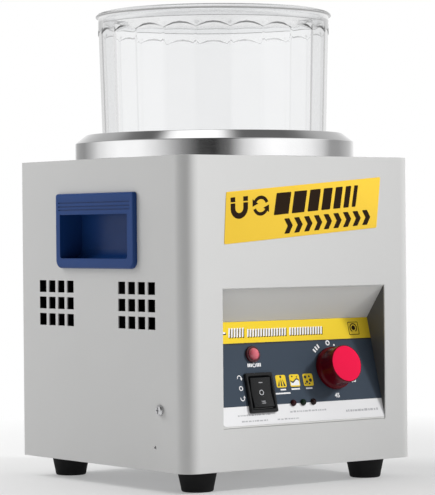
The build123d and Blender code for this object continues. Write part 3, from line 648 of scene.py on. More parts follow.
def wrap_path():
    hi = H2 - T
    lst = []
    lst.append(("line", (-XR, H2), (-H2 + KB_, H2), (-XR, hi), (-H2 + KB_, hi)))
    lst.append(("line", (-H2 + KB_, H2), (-H2, H2), (-H2 + KB_, hi), (-hi, hi)))
    lst.append(("line", (-H2, H2), (-H2, H2 - KB_), (-hi, hi), (-hi, H2 - KB_)))
    lst.append(("line", (-H2, H2 - KB_), (-H2, -H2 + R_FRONT), (-hi, H2 - KB_), (-hi, -H2 + R_FRONT)))
    lst.append(("arc", (-H2 + R_FRONT, -H2 + R_FRONT), pi, pi / 2))
    lst.append(("line", (-H2 + R_FRONT, -H2), (H2 - R_FRONT, -H2), (-H2 + R_FRONT, -hi), (H2 - R_FRONT, -hi)))
    lst.append(("arc", (H2 - R_FRONT, -H2 + R_FRONT), 1.5 * pi, pi / 2))
    lst.append(("line", (H2, -H2 + R_FRONT), (H2, H2 - KB_), (hi, -H2 + R_FRONT), (hi, H2 - KB_)))
    lst.append(("line", (H2, H2 - KB_), (H2, H2), (hi, H2 - KB_), (hi, hi)))
    lst.append(("line", (H2, H2), (H2 - KB_, H2), (hi, hi), (H2 - KB_, hi)))
    lst.append(("line", (H2 - KB_, H2), (XR, H2), (H2 - KB_, hi), (XR, hi)))
    out, pos = [], 0.0
    for q in lst:
        if q[0] == "line":
            ln = math.dist(q[1], q[2])
        else:
            ln = ARC
        out.append((pos, pos + ln, q))
        pos += ln
    return out


PATH = wrap_path()


def wrap(sv, side):
    for a, b, q in PATH:
        if sv <= b + 1e-6:
            t = (sv - a) / (b - a)
            if q[0] == "line":
                p0, p1 = (q[1], q[2]) if side == 0 else (q[3], q[4])
                return (p0[0] + (p1[0] - p0[0]) * t, p0[1] + (p1[1] - p0[1]) * t)
            r = R_FRONT - (T if side else 0.0)
            th = q[2] + q[3] * t
            return (q[1][0] + r * cos(th), q[1][1] + r * sin(th))
    raise ValueError(sv)


def s_left(y):
    return PATH[3][0] + (H2 - KB_ - y)


def s_front(x):
    return PATH[5][0] + (x + H2 - R_FRONT)


def s_right(y):
    return PATH[7][0] + (y + H2 - R_FRONT)


stations = [PATH[0][0]] + [b for _, b, _ in PATH]
for k in (4, 6):
    a, b, _ = PATH[k]
    stations += [a + (b - a) * t / 14 for t in range(1, 14)]
    stations += [a - 0.25, b + 0.25]
HO_Y0, HO_Y1, HO_Z0, H_HOOK = -44.0, 54.0, 184.8, 232.0
wins, rnds = [(s_front(U0), s_front(U1), ZR0, ZR1)], []
for fn, sgn in ((s_left, -1), (s_right, 1)):
    a, b = sorted((fn(HO_Y0 - 2.4), fn(HO_Y1 + 2.4)))
    wins.append((a, b, HO_Z0 - 2.4, H_HOOK + 2.4))
    for yc in (65.2, -51.3):
        for i in range(4):
            for zc in (161.3, 147.5, 133.6):
                y = yc + (i - 1.5) * 13.8
                a, b = sorted((fn(y - 5.0), fn(y + 5.0)))
                wins.append((a, b, zc - 5.0, zc + 5.0))
    rnds.append((fn(-83.0), 65.4, 2.2))
    rnds.append((fn(-75.6), 35.5, 1.3))
for base in (PATH[0][0] + 110.4 - XR, PATH[10][1] - (110.4 - XR)):
    for z in (41.0, 143.0, 245.0):
        rnds.append((base, z, 2.0))
hs = sheet("housing_sheet", stations, (Z_BOT, Z_TOP), wins, rnds, wrap)
finish_piece(hs, "root", PAINT, ("housing_shell",))
# painted shade: the inside faces of the sheet get a near-black material
hs.data.materials.append(INNER_SHADE)
for f in hs.data.polygons:
    cx_, cy_ = f.center.x, f.center.y
    if (f.normal.x * cx_ + f.normal.y * cy_) / math.hypot(cx_, cy_) < -0.6:
        f.material_index = 1

for side in ("left", "right"):
    o = refine("carry_handle_" + side, "handle_" + side, bevel=0.45, seg=3, angle=28)
    finish_piece(o, "root", BLUE, ("carry_handle_" + side,))

# ============================================================ collar
RC, RT, RB, TC = 117.2, 108.0, 97.8, 2.0
ZW, ZT = 280.4, 287.6
prof = [(RC, Z_TOP), (RC, ZW), (RT, ZT), (RB + 1.2, ZT), (RB, ZT - 1.2), (RB, Z_TOP), (RB + TC, Z_TOP), (RB + TC, ZT - TC),
        (RT - 0.6, ZT - TC), (RC - TC, ZW - 0.9), (RC - TC, Z_TOP)]
prof = rounded_profile(prof, [0.35, 0.9, 1.6, 0.5, 0.5, 0.3, 0.3, 0.5, 0.5, 0.5, 0.3], 6, guard=True)
ring = lathe("collar_polished_ring", prof, 320)
hard_edges(ring, 40)
finish_piece(ring, "root", CHROME, ("collar_ring",))

# ============================================================ barrel
NF = 22
STEP = 360.0 / NF
PHASE = -126.8
ZB, ZRIM, ZARCH, ARCH_H = 268.0, 385.9, 374.5, 3.4
R_RIM = 97.15


def ridge(z):
    return 94.6 + (97.0 - 94.6) * (z - 291.0) / (374.5 - 291.0)


def bore(z):
    return 91.0 + (93.7 - 91.0) * (z - 271.0) / (385.9 - 271.0)


def barrel_mesh():
    """Moulded wall of even thickness: flat outside and inside between softly rounded ridges, plain round rim above."""
    fr = [-1.0, -0.965, -0.93, -0.89, -0.85, -0.80, -0.4, 0.0, 0.4, 0.80, 0.85, 0.89, 0.93, 0.965]
    half = rad(STEP / 2)
    cols = []
    for k in range(NF):
        for f in fr:
            cols.append((rad(PHASE + STEP * k) + f * half, f))
    n = len(cols)
    bm = bmesh.new()
    rings = []

    def soft(f):
        return 0.17 * (max(0.0, abs(f) - 0.82) / 0.18) ** 2

    def flat_r(z, f):
        return ridge(z) * cos(half) / cos(f * half) - soft(f)

    def flat_in(z, f):
        return bore(z) / cos(f * half)

    def arch(f):
        return ZARCH - ARCH_H * abs(f) ** 2.2

    # outer wall, bottom to arch
    zs_low = [(0.0, 4.2), (0.35, 2.0), (1.2, 0.75), (2.4, 0.15), (4.0, 0.0)]
    for dz, inset in zs_low:
        rings.append([(flat_r(ZB + dz, f) - inset, ZB + dz) for _, f in cols])
    rows = 26
    for i in range(1, rows + 1):
        t = i / rows
        rings.append([(flat_r(ZB + 4.0 + (arch(f) - ZB - 4.0) * t, f), ZB + 4.0 + (arch(f) - ZB - 4.0) * t) for _, f in cols])
    # soft shoulder over each flute, then the plain rim
    for t in (0.03, 0.2, 0.4, 0.6, 0.8, 0.97, 1.0):
        rings.append([(flat_r(arch(f), f) + (R_RIM - flat_r(arch(f), f)) * t, arch(f) + (R_RIM - flat_r(arch(f), f)) * t / math.tan(rad(39.0))) for _, f in cols])
    for z in (378.6, 381.5, 384.4):
        rings.append([(R_RIM, z) for _ in cols])
    rings.append([(R_RIM - 0.25, ZRIM - 0.6) for _ in cols])
    rings.append([(R_RIM - 0.9, ZRIM) for _ in cols])
    rings.append([(bore(ZRIM) + 0.7, ZRIM) for _ in cols])
    rings.append([(bore(ZRIM) + 0.1, ZRIM - 0.6) for _ in cols])
    # inside: round at the lid, flat-sided below
    for z in (384.2, 381.5, 379.0):
        rings.append([(bore(z), z) for _ in cols])
    for i in range(1, 11):
        t = i / 10
        g = t * t * (3 - 2 * t)
        z = 378.0 - 7.0 * t
        rings.append([(bore(z) + (flat_in(z, f) - bore(z)) * g, z) for _, f in cols])
    for i in range(1, 22):
        z = 371.0 - (371.0 - 282.0) * i / 21
        rings.append([(flat_in(z, f), z) for _, f in cols])
    for k in range(0, 8):
        a = pi / 2 * k / 7
        rings.append([(flat_in(279.0, f) - 8 * (1 - cos(a)), 279.0 - 8 * sin(a)) for _, f in cols])
    for r in (76.0, 60.0, 40.0, 20.0):
        rings.append([(r, 271.0) for _ in cols])
    verts = [[bm.verts.new((r * cos(a), r * sin(a), z)) for (r, z), (a, _) in zip(ring_, cols)] for ring_ in rings]
    for A, B in zip(verts, verts[1:]):
        for k in range(n):
            bm.faces.new((A[k], A[(k + 1) % n], B[(k + 1) % n], B[k]))
    ctop = bm.verts.new((0, 0, 271.0))
    for k in range(n):
        bm.faces.new((verts[-1][k], verts[-1][(k + 1) % n], ctop))
    cb = bm.verts.new((0, 0, ZB))
    mid = [[bm.verts.new((r * cos(a), r * sin(a), ZB)) for a, _ in cols] for r in (40.0, 75.0)]
    for k in range(n):
        k2 = (k + 1) % n
        bm.faces.new((cb, mid[0][k2], mid[0][k]))
        bm.faces.new((mid[0][k], mid[0][k2], mid[1][k2], mid[1][k]))
        bm.faces.new((mid[1][k], mid[1][k2], verts[0][k2], verts[0][k]))
    bmesh.ops.recalc_face_normals(bm, faces=bm.faces)
    return new_obj("clear_barrel", bm)


barrel = barrel_mesh()
hard_edges(barrel, 24)
finish_piece(barrel, "barrel", CLEAR, ("tumbling_barrel",))
barrel.visible_glossy = False

ZL = 386.0
prof = [(0, ZL + 2.6), (60, ZL + 2.45), (84, ZL + 2.0), (90.6, ZL + 1.2), (91.3, ZL - 0.6), (91.3, ZL - 5.5), (93.1, ZL - 5.5), (93.1, ZL),
        (99.2, ZL), (99.2, ZL + 1.5), (97.6, ZL + 3.0), (94.0, ZL + 4.2), (86.0, ZL + 4.95), (60, ZL + 5.15), (0, ZL + 5.2)]
prof = rounded_profile(prof, [0, 6, 3, 1.5, 0.8, 0.4, 0.4, 0.6, 0.75, 0.7, 1.8, 4, 6, 6, 0], 5, closed=False)
lid = lathe("clear_lid_disc", prof, 288)
hard_edges(lid, 35)
finish_piece(lid, "lid", CLEAR_LID, ("barrel_lid",))
lid.visible_glossy = False

for node, slotname, bev in (("top_deck", "cabinet_paint", 0.2), ("base_tray", "zinc_sheet", 0.2), ("side_screws", "screw_steel", 0.12),
                            ("rear_screws", "screw_steel", 0.12), ("inlet_socket", "black_plastic", 0.3),
                            ("fuse_drawer", "black_plastic", 0.2), ("foot_screws", "screw_steel", 0.12),
                            ("inlet_screws", "screw_steel", 0.1), ("fan_screws", "screw_steel", 0.12)):
    o = refine(node, node + "_detail", bevel=bev)
    body = "fuse_tray" if node == "fuse_drawer" else "root"
    finish_piece(o, body, NODE_MATS[node], (node,))


# ============================================================ generic loft through loops with equal point counts
def loft(name, loops, ref, cap_start=True, cap_end=True, closed=False):
    """loops: lists of (x, y, z) points in mm."""
    bm = bmesh.new()
    rings = [[bm.verts.new(p) for p in lp] for lp in loops]
    n = len(rings[0])
    seq = list(zip(rings, rings[1:])) + ([(rings[-1], rings[0])] if closed else [])
    for A, B in seq:
        for k in range(n):
            bm.faces.new((A[k], A[(k + 1) % n], B[(k + 1) % n], B[k]))
    if not closed and cap_start:
        bm.faces.new(list(reversed(rings[0])))
    if not closed and cap_end:
        bm.faces.new(rings[-1])
    bmesh.ops.recalc_face_normals(bm, faces=bm.faces)
    bm.transform(ref)
    o = new_obj(name, bm)
    hard_edges(o, 35)
    return o


def loop3(w, h, r, z, cx=0.0, cy=0.0, n=6):
    return [(x, y, z) for x, y in outline(w, h, r, n, cx, cy)]


def ring_plate(name, r_out, r_in, z0, z1, ref, a0=0.0, a1=360.0, n=48):
    """Flat ring or arc band."""
    full = abs(a1 - a0) >= 359.9
    k = n if full else n + 1
    ang = [rad(a0 + (a1 - a0) * i / n) for i in range(k)]
    bm = bmesh.new()
    q = []
    for a in ang:
        q.append([bm.verts.new((r * cos(a), r * sin(a), z)) for r, z in ((r_in, z0), (r_out, z0), (r_out, z1), (r_in, z1))])
    m = len(q)
    for i in range(m if full else m - 1):
        A, B = q[i], q[(i + 1) % m]
        for j in range(4):
            bm.faces.new((A[j], A[(j + 1) % 4], B[(j + 1) % 4], B[j]))
    if not full:
        bm.faces.new(q[0])
        bm.faces.new(list(reversed(q[-1])))
    bmesh.ops.recalc_face_normals(bm, faces=bm.faces)
    bm.transform(ref)
    o = new_obj(name, bm)
    hard_edges(o, 35)
    return o


def join(name, objs):
    """One object from several, all at the origin."""
    bm = bmesh.new()
    for o in objs:
        bm.from_mesh(o.data)
        bpy.data.objects.remove(o)
    me = bpy.data.meshes.new(name)
    bm.to_mesh(me)
    bm.free()
    return link(bpy.data.objects.new(name, me))


def digits(name, text, size, z0, z1, ref, bold=0.012):
    """Dial numbers as a thin raised print."""
    cu = bpy.data.curves.new(name + "_c", "FONT")
    cu.body = text
    cu.size = size
    cu.align_x = "CENTER"
    cu.align_y = "CENTER"
    cu.extrude = (z1 - z0) / 2
    cu.resolution_u = 6
    cu.offset = size * bold
    tmp = link(bpy.data.objects.new(name + "_t", cu))
    bpy.context.view_layer.update()
    dg = bpy.context.evaluated_depsgraph_get()
    me = bpy.data.meshes.new_from_object(tmp.evaluated_get(dg))
    bpy.data.objects.remove(tmp)
    bm = bmesh.new()
    bm.from_mesh(me)
    bmesh.ops.remove_doubles(bm, verts=bm.verts, dist=1e-5)
    bm.transform(Matrix.Translation((0, 0, (z0 + z1) / 2)))
    bm.transform(ref)
    o = new_obj(name, bm)
    hard_edges(o, 30)
    return o


INK = 0.07     # raised print, mm

# ============================================================ front label
LBL = [(-79.2, 195.8), (78.1, 208.1), (82.7, 249.8), (-76.8, 237.0)]
lab = plate("front_label_vinyl", rounded_profile(LBL, [1.2] * 4, 5), 0.0, 0.3, FRONT, bevel=0.12)
finish_piece(lab, "root", YELLOW, ("front_label",))

SLOPE = (249.8 - 237.0) / (82.7 + 76.8)


def on_label(pts, s0, t0):
    return [(s0 + s, t0 + SLOPE * (s0 + s) + t) for s, t in pts]


def lab_plate(name, pts, s0, t0, r=0.0):
    lp = on_label(pts, s0, t0)
    if r > 0:
        lp = rounded_profile(lp, [r] * len(lp), 4)
    return plate(name, lp, 0.3, 0.3 + INK, FRONT)


BASE1, H1 = 221.0, 17.4      # row one: height of its lower edge at x = 0, and its height
BASE2, HB = 205.2, 12.2
marks = []
# horseshoe magnet
s0 = -64.0
n = 20
outer = [(8.6 * cos(pi + pi * i / n), 8.6 + 8.6 * sin(pi + pi * i / n)) for i in range(n + 1)]
inner = [(4.0 * cos(2 * pi - pi * i / n), 8.6 + 4.0 * sin(2 * pi - pi * i / n)) for i in range(n + 1)]
marks.append(lab_plate("lm0", outer + [(8.6, 12.6), (4.0, 12.6)] + inner + [(-4.0, 12.6), (-8.6, 12.6)], s0, BASE1))
for sx in (-1, 1):
    marks.append(lab_plate("lm1", [(sx * 4.0, 13.6), (sx * 8.6, 13.6), (sx * 8.6, H1), (sx * 4.0, H1)][::sx], s0, BASE1))
# rotation arrows
s0 = -42.5


def arc_band(r0, r1, a0, a1, n=18):
    return [(r1 * cos(rad(a0 + (a1 - a0) * i / n)), H1 / 2 + r1 * sin(rad(a0 + (a1 - a0) * i / n))) for i in range(n + 1)] + \
           [(r0 * cos(rad(a1 + (a0 - a1) * i / n)), H1 / 2 + r0 * sin(rad(a1 + (a0 - a1) * i / n))) for i in range(n + 1)]


for off in (0, 180):
    marks.append(lab_plate("lm2", arc_band(5.2, 8.0, 20 + off, 145 + off), s0, BASE1))
    a = rad(145 + off)
    c, t = Vector((6.6 * cos(a), H1 / 2 + 6.6 * sin(a))), Vector((-sin(a), cos(a)))
    nn = Vector((cos(a), sin(a)))
    tri = [c + nn * 3.4, c - nn * 3.4, c + t * 5.0]
    if (tri[1] - tri[0]).cross(tri[2] - tri[0]) < 0:
        tri.reverse()
    marks.append(lab_plate("lm3", [tuple(p) for p in tri], s0, BASE1))
# slanted bars
s = -29.5
for wbar in (15.0, 13.0, 11.0, 9.2, 7.4, 5.6, 4.0):
    marks.append(lab_plate("lm4", [(0, 0), (wbar, 0), (wbar + 3.2, H1), (3.2, H1)], s, BASE1, 0.5))
    s += wbar + 3.3
s = -19.0
for i in range(9):
    wv = 5.2
    marks.append(lab_plate("lm5", [(0, 0), (wv, 0), (wv + 3.6, HB / 2), (wv, HB), (0, HB), (3.6, HB / 2)], s, BASE2, 0.3))
    s += 10.2
lm = join("front_label_print", marks)
finish_piece(lm, "root", INK_DARK)

# ============================================================ sloped panel print, in bands
UC, UW = (U0 + U1) / 2, U1 - U0 - 0.3


def band(name, v0, v1, mat, r=0.0, rep=()):
    rs = [r, 0.01, 0.01, 0.01] if r else [0.01] * 4
    lp = outline(UW, v1 - v0, rs, 5, UC, (v0 + v1) / 2)
    o = plate(name, lp, -0.4, 0.0, PANEL, bevel=0.06, seg=1)
    return finish_piece(o, "root", mat, rep)


band("panel_white_band", 1.9, 17.3, WHITE_STRIP, r=3.0, rep=("panel_overlay",))
band("panel_slate_band", 17.3, 67.5, SLATE)
band("panel_dark_line", 67.5, 68.7, INK_BLACK)
band("panel_yellow_band", 68.7, 86.2, YELLOW_STRIP)


def ink(name, loops, mat, z=INK, z0=0.0, ref=PANEL):
    o = join(name, [plate(name + "_i", lp, z0, z0 + z, ref) for lp in loops])
    return finish_piece(o, "root", mat)


def para(u, v, w, h, slant=0.0):
    return [(u, v), (u + w, v), (u + w + slant, v + h), (u + slant, v + h)]


# yellow band: groups of upright white strokes with a dark drop edge, and a framed disc
white, dark = [], []
for ua, nb, hh in ((-80.0, 4, 7.6), (-61.4, 6, 7.6), (-42.6, 15, 6.4), (0.6, 13, 6.4)):
    for k in range(nb):
        u = ua + 2.72 * k
        white.append(para(u, 73.6, 1.55, hh, hh * 0.22))
        dark.append(para(u + 0.7, 72.9, 1.55, hh, hh * 0.22))
white.append(para(-69.4, 76.6, 5.6, 1.5, 0.2))
dark.append(para(-68.7, 75.9, 5.6, 1.5, 0.2))
ink("strip_shadow_strokes", dark, INK_DARK, z=0.04)
ink("strip_white_strokes", white, INK_WHITE, z=0.05, z0=0.04)
fr_ = loft("strip_square_frame", [loop3(11.0, 11.0, 0.8, 0.0, 69.4, 77.2), loop3(11.0, 11.0, 0.8, INK, 69.4, 77.2),
                                  loop3(9.9, 9.9, 0.5, INK, 69.4, 77.2), loop3(9.9, 9.9, 0.5, 0.0, 69.4, 77.2)], PANEL, closed=True)
disc_ = plate("strip_disc", circle2(2.0, 32, 69.4, 77.6), 0, INK, PANEL)
arc_ = ring_plate("strip_arc", 3.9, 3.0, 0, INK, at(PANEL, 69.4, 77.6), -60, 240)
logo = join("strip_frame_mark", [fr_, disc_, arc_])
finish_piece(logo, "root", INK_DARK)

# lamp and rocker marks
LU, LV = -40.5, 59.0
RU, RV = -39.0, 27.4
KU, KV = 39.7, 44.2
objs = [ring_plate("m", 1.85, 1.15, 0, INK, at(PANEL, LU + 0.1, 50.3), 125, 415, 28),
        plate("m", para(LU - 0.45, 50.5, 0.5, 2.2), 0, INK, PANEL)]
for du in (-6.6, -5.0, -3.4, 2.5, 4.1, 5.7):
    objs.append(plate("m", para(LU + du, 48.9, 1.15, 2.9, 0.2), 0, INK, PANEL))
# clockwise, stop, anticlockwise
for v, dirn in ((41.2, 1), (23.0, -1)):
    a0, a1 = (200, -20) if dirn > 0 else (-160, 60)
    objs.append(ring_plate("m", 2.2, 1.5, 0, INK, at(PANEL, -57.3, v - 0.8 * dirn), min(a0, a1) if dirn > 0 else 160, max(a0, a1) if dirn > 0 else 380, 20))
    tip = at(PANEL, -57.3 + 1.9 * 1.0, v - 0.8 * dirn - (0.7 if dirn > 0 else -0.7))
    tri = [(-1.3, 0.5), (1.3, 0.5), (0, -1.5)] if dirn > 0 else [(-1.3, -0.5), (0, 1.5), (1.3, -0.5)]
    if dirn > 0:
        tri.reverse()
    objs.append(plate("m", tri, 0, INK, tip))
objs.append(ring_plate("m", 1.9, 1.25, 0, INK, at(PANEL, -57.3, 31.9)))
# small caption bars below the three pictograms
for uu, vv, ww_ in ((-17.8, 28.4, 5.6), (-6.6, 28.4, 8.6), (8.4, 28.4, 6.6), (-23.4, 25.4, 15.0)):
    objs.append(plate("m", para(uu, vv, ww_, 1.25), 0, INK, PANEL))
# timer scale: stop mark at the top, hold mark to its left, minutes round the dial
objs.append(ring_plate("m", 2.2, 1.2, 0, INK, at(PANEL, KU - 0.6, KV + 21.6)))
objs.append(plate("m", circle2(0.85, 20, KU + 5.8, KV + 19.6), 0, INK, PANEL))
for da in (-2.9, 0.0, 2.9):
    a = rad(90 + 38) + da / 22.2
    objs.append(plate("m", [(-0.75, -1.8), (0.75, -1.8), (0.75, 1.8), (-0.75, 1.8)], 0, INK,
                      at(PANEL, KU + 22.2 * cos(a), KV + 22.2 * sin(a), 0, a - pi / 2)))
for deg, t, rr in ((60, "15", 23.4), (118, "30", 22.6), (180, "45", 22.6)):
    a = rad(90 - deg)
    objs.append(digits("m" + t, t, 5.0, 0, INK, at(PANEL, KU + rr * cos(a), KV + rr * sin(a)), 0.03))
pm = join("panel_white_marks", objs)
finish_piece(pm, "root", INK_WHITE)

# white band: rows of fine grey dashes
dashes = []
rng = random.Random(7)
for (ua, ub, v, h) in ((-65.0, -32.0, 9.4, 1.3), (-62.0, -36.0, 4.6, 1.3), (-12.0, 26.0, 10.0, 1.5), (-26.0, -4.0, 4.6, 1.3), (46.0, 80.0, 7.6, 2.0)):
    u = ua
    while u < ub:
        wd = rng.uniform(0.9, 3.4)
        dashes.append(para(u, v, min(wd, ub - u), h * rng.uniform(0.75, 1.0)))
        u += wd + rng.uniform(0.5, 1.1)
ink("white_band_dashes", dashes, INK_GREY, z=0.04)

# pictograms: rounded yellow tiles with dark signs
tiles, darks, lights = [], [], []
for i, uc in enumerate((-16.0, -2.0, 12.0)):
    tiles.append(outline(10.2, 10.2, 1.5, 5, uc, 36.0))
    if i == 0:      # three pins standing
        for k, du in enumerate((-2.7, 0.0, 2.7)):
            darks.append([(uc + du * 1.15 - 0.95, 31.9), (uc + du * 1.15 + 0.95, 31.9), (uc + du * 0.55, 38.6 - abs(du) * 0.35)])
        darks.append(circle2(1.0, 20, uc, 39.6))
    elif i == 1:    # liquid surface with two drops
        wv = [(uc - 4.3 + 8.6 * k / 20, 36.6 + 1.25 * sin(2 * pi * k / 20 + pi)) for k in range(21)]
        darks.append(wv + [(x, y - 1.3) for x, y in reversed(wv)])
        lights.append([(uc - 4.3, 32.0), (uc + 4.3, 32.0)] + [(x, y - 1.3) for x, y in reversed(wv)])
        darks.append(circle2(0.75, 18, uc - 2.2, 39.4))
        darks.append(circle2(0.6, 18, uc + 2.4, 38.9))
    else:           # scattered pieces
        for du, dv, r in ((-2.6, 2.4, 1.3), (1.4, 2.7, 0.9), (-1.4, -1.6, 1.1), (2.4, -0.4, 1.5), (0.9, -3.1, 0.8), (-3.2, -3.0, 0.7)):
            darks.append(circle2(r, 20, uc + du, 36.0 + dv))
ink("pictogram_tiles", tiles, YELLOW_STRIP, z=0.06)
ink("pictogram_signs", darks, INK_BLACK, z=0.04, z0=0.06)
ink("pictogram_lights", lights, INK_WHITE, z=0.03, z0=0.06)

# ============================================================ rocker switch
RK = at(PANEL, RU, RV)
bez = loft("rocker_frame", [
    loop3(27.5, 32.5, 1.4, 0.02), loop3(27.5, 32.5, 1.4, 1.9), loop3(27.1, 32.1, 1.2, 2.35), loop3(26.3, 31.3, 1.0, 2.6),
    loop3(23.4, 28.2, 1.4, 2.6), loop3(22.8, 27.6, 1.2, 2.45), loop3(21.0, 25.8, 0.7, 1.2), loop3(20.8, 25.5, 0.6, 0.6), loop3(20.8, 25.5, 0.6, -9.5),
    loop3(24.0, 29.0, 0.6, -9.5), loop3(24.0, 29.0, 0.6, 0.02)], RK, closed=True)
# the body behind the panel
sub = loft("rocker_case", [loop3(24.0, 29.0, 0.6, -9.6), loop3(24.0, 29.0, 0.6, -19.6), loop3(23.4, 28.4, 0.4, -19.9)], RK)
case = join("rocker_frame_body", [bez, sub])
finish_piece(case, "root", BLACK, ("rocker_bezel",))

RR, WU = 12.4, 20.8 - 0.7


def top_w(v):
    return 1.72 + 0.1317 * (math.sqrt(v * v + 0.5) - 0.25)


sec = []
vt = 11.9
for i in range(25):
    v = -vt + 2 * vt * i / 24
    sec.append((v, top_w(v)))
sec = [(p[0], p[1]) for p in sec]
end_a = math.atan2(top_w(vt), math.sqrt(RR * RR - top_w(vt) ** 2))
low_a = -math.asin(5.4 / RR)
arc_r = [(RR * cos(t), RR * sin(t)) for t in [end_a + (low_a - end_a) * i / 10 for i in range(1, 11)]]
arc_l = [(-x, y) for x, y in reversed(arc_r)]
sec = sec + arc_r + arc_l


def rocker_mesh():
    bm = bmesh.new()
    n = len(sec)
    us = [(-WU / 2, 0.45), (-WU / 2 + 0.12, 0.18), (-WU / 2 + 0.45, 0.0), (WU / 2 - 0.45, 0.0), (WU / 2 - 0.12, 0.18), (WU / 2, 0.45)]
    rings = []
    for u, inset in us:
        rr_ = []
        for v, w in sec:
            k = 1 - inset / 12.4
            rr_.append(bm.verts.new((u, v * k, w - inset if w > 0 else w + inset * 0.3)))
        rings.append(rr_)
    for A, B in zip(rings, rings[1:]):
        for k in range(n):
            bm.faces.new((A[k], A[(k + 1) % n], B[(k + 1) % n], B[k]))
    bm.faces.new(rings[0])
    bm.faces.new(list(reversed(rings[-1])))
    bmesh.ops.recalc_face_normals(bm, faces=bm.faces)
    bm.transform(RK)
    return new_obj("rocker_button", bm)


rk = rocker_mesh()
hard_edges(rk, 40)
pin = lathe("rocker_pins", [(0, -11.7), (1.2, -11.7), (1.2, 11.7), (0, 11.7)], 24, RK @ Matrix.Rotation(pi / 2, 4, "Y"))
rk = join("rocker_button_pins", [rk, pin])
finish_piece(rk, "rocker", BLACK, ("rocker_actuator",))
rm = []
tilt_up = RK @ Matrix.Translation((0, 8.0, top_w(8.0))) @ Matrix.Rotation(rad(7.5), 4, "X")
tilt_dn = RK @ Matrix.Translation((0, -8.0, top_w(8.0))) @ Matrix.Rotation(rad(-7.5), 4, "X")
rm.append(plate("r", para(-1.9, -0.3, 3.8, 0.6), 0, 0.05, tilt_up))
rm.append(plate("r", para(-1.9, 0.5, 3.8, 0.6), 0, 0.05, tilt_dn))
rm.append(plate("r", para(-1.9, -1.1, 3.8, 0.6), 0, 0.05, tilt_dn))
rm.append(ring_plate("r", 2.2, 1.55, -0.1, 0.22, RK @ Matrix.Translation((0, 0, top_w(0)))))
rm = join("rocker_marks", rm)
finish_piece(rm, "rocker", INK_GREY)

# ============================================================ timer knob
KB = at(PANEL, KU, KV)
kp = [(3.0, 16.0), (3.0, 6.4), (9.0, 6.4), (9.0, 0.7), (17.35, 0.7), (17.6, 0.95), (17.6, 3.0), (17.4, 3.6), (16.7, 4.15), (16.0, 4.75),
      (15.72, 5.6), (15.66, 8.0), (15.52, 14.0), (15.42, 17.7), (15.3, 18.35), (14.98, 18.74), (14.75, 18.82), (14.75, 18.3), (0, 18.3), (0, 16.0)]
kb = lathe("knob_skirt_and_side", kp, 160, KB)
hard_edges(kb, 32)
finish_piece(kb, "timer_dial", KNOB_BODY, ("timer_knob",))
kf = lathe("knob_red_face", [(0, 18.3), (14.73, 18.3), (14.73, 18.66), (14.55, 18.88), (14.0, 18.98), (0, 19.0)], 160, KB)
hard_edges(kf, 30)
finish_piece(kf, "timer_dial", KNOB_FACE)

# ============================================================ lamp and status lights
LB = at(PANEL, LU, LV)
lamp_ring = plastic("lamp_bezel_dark_red", (0.055, 0.006, 0.010), rough=0.25, grain=1500, grain_amt=0.05, var=0.1)
lb = lathe("lamp_ring", [(5.25, 0.02), (6.8, 0.02), (6.8, 1.4), (6.55, 1.95), (6.0, 2.25), (5.4, 2.3), (4.98, 2.1), (4.9, 1.7), (4.9, 0.45),
                         (0, 0.45), (0, -16), (5.2, -16)], 96, LB)
hard_edges(lb, 35)
finish_piece(lb, "root", lamp_ring, ("lamp_bezel",))
LENS_BODY = plastic("lens_pink_red", srgb(200, 92, 106), rough=0.22, grain=900, grain_amt=0.03, var=0.08, coat=0.5)
ll = lathe("lamp_dome", [(0, 0.45), (4.85, 0.45), (4.85, 2.3), (4.72, 3.0), (4.3, 3.8), (3.5, 4.5), (2.4, 5.0), (1.2, 5.3), (0, 5.4)], 96, LB)
hard_edges(ll, 50)
finish_piece(ll, "root", LENS_BODY, ("lamp_lens",))
LED_MATS = [plastic("led_red_off", (0.022, 0.0012, 0.003), rough=0.22, grain=600, grain_amt=0.02, var=0.1, spec=0.2, coat=0.08),
            plastic("led_green_off", (0.001, 0.012, 0.004), rough=0.22, grain=600, grain_amt=0.02, var=0.1, spec=0.2, coat=0.08),
            plastic("led_amber_off", (0.009, 0.0012, 0.0012), rough=0.22, grain=600, grain_amt=0.02, var=0.1, spec=0.2, coat=0.08)]
for i, (uu, mt) in enumerate(zip((-7.4, 2.8, 13.3), LED_MATS)):
    o = lathe("status_led_%d" % (i + 1), [(0, -6), (2.7, -6), (2.7, 0.4), (2.6, 0.9), (2.2, 1.6), (1.4, 2.15), (0.7, 2.35), (0, 2.4)], 48, at(PANEL, uu, 17.7))
    hard_edges(o, 50)
    finish_piece(o, "root", mt, ("status_leds",) if i == 0 else ())

# ============================================================ feet
feet = []
for sx in (-1, 1):
    for fy in (-90.0, 92.0):
        p = [(2.3, 7.0), (5.6, 7.0), (5.6, 0.5), (6.1, 0.0), (11.5, 0.0), (12.4, 0.35), (12.95, 1.4), (13.35, 4.0), (15.75, 15.4), (16.2, 16.2), (16.2, 16.8), (2.3, 16.8)]
        feet.append(lathe("f", p, 96, Matrix.Translation((sx * 87.0, fy, 0))))
ft = join("rubber_foot_set", feet)
hard_edges(ft, 38)
finish_piece(ft, "root", RUBBER, ("rubber_feet",))

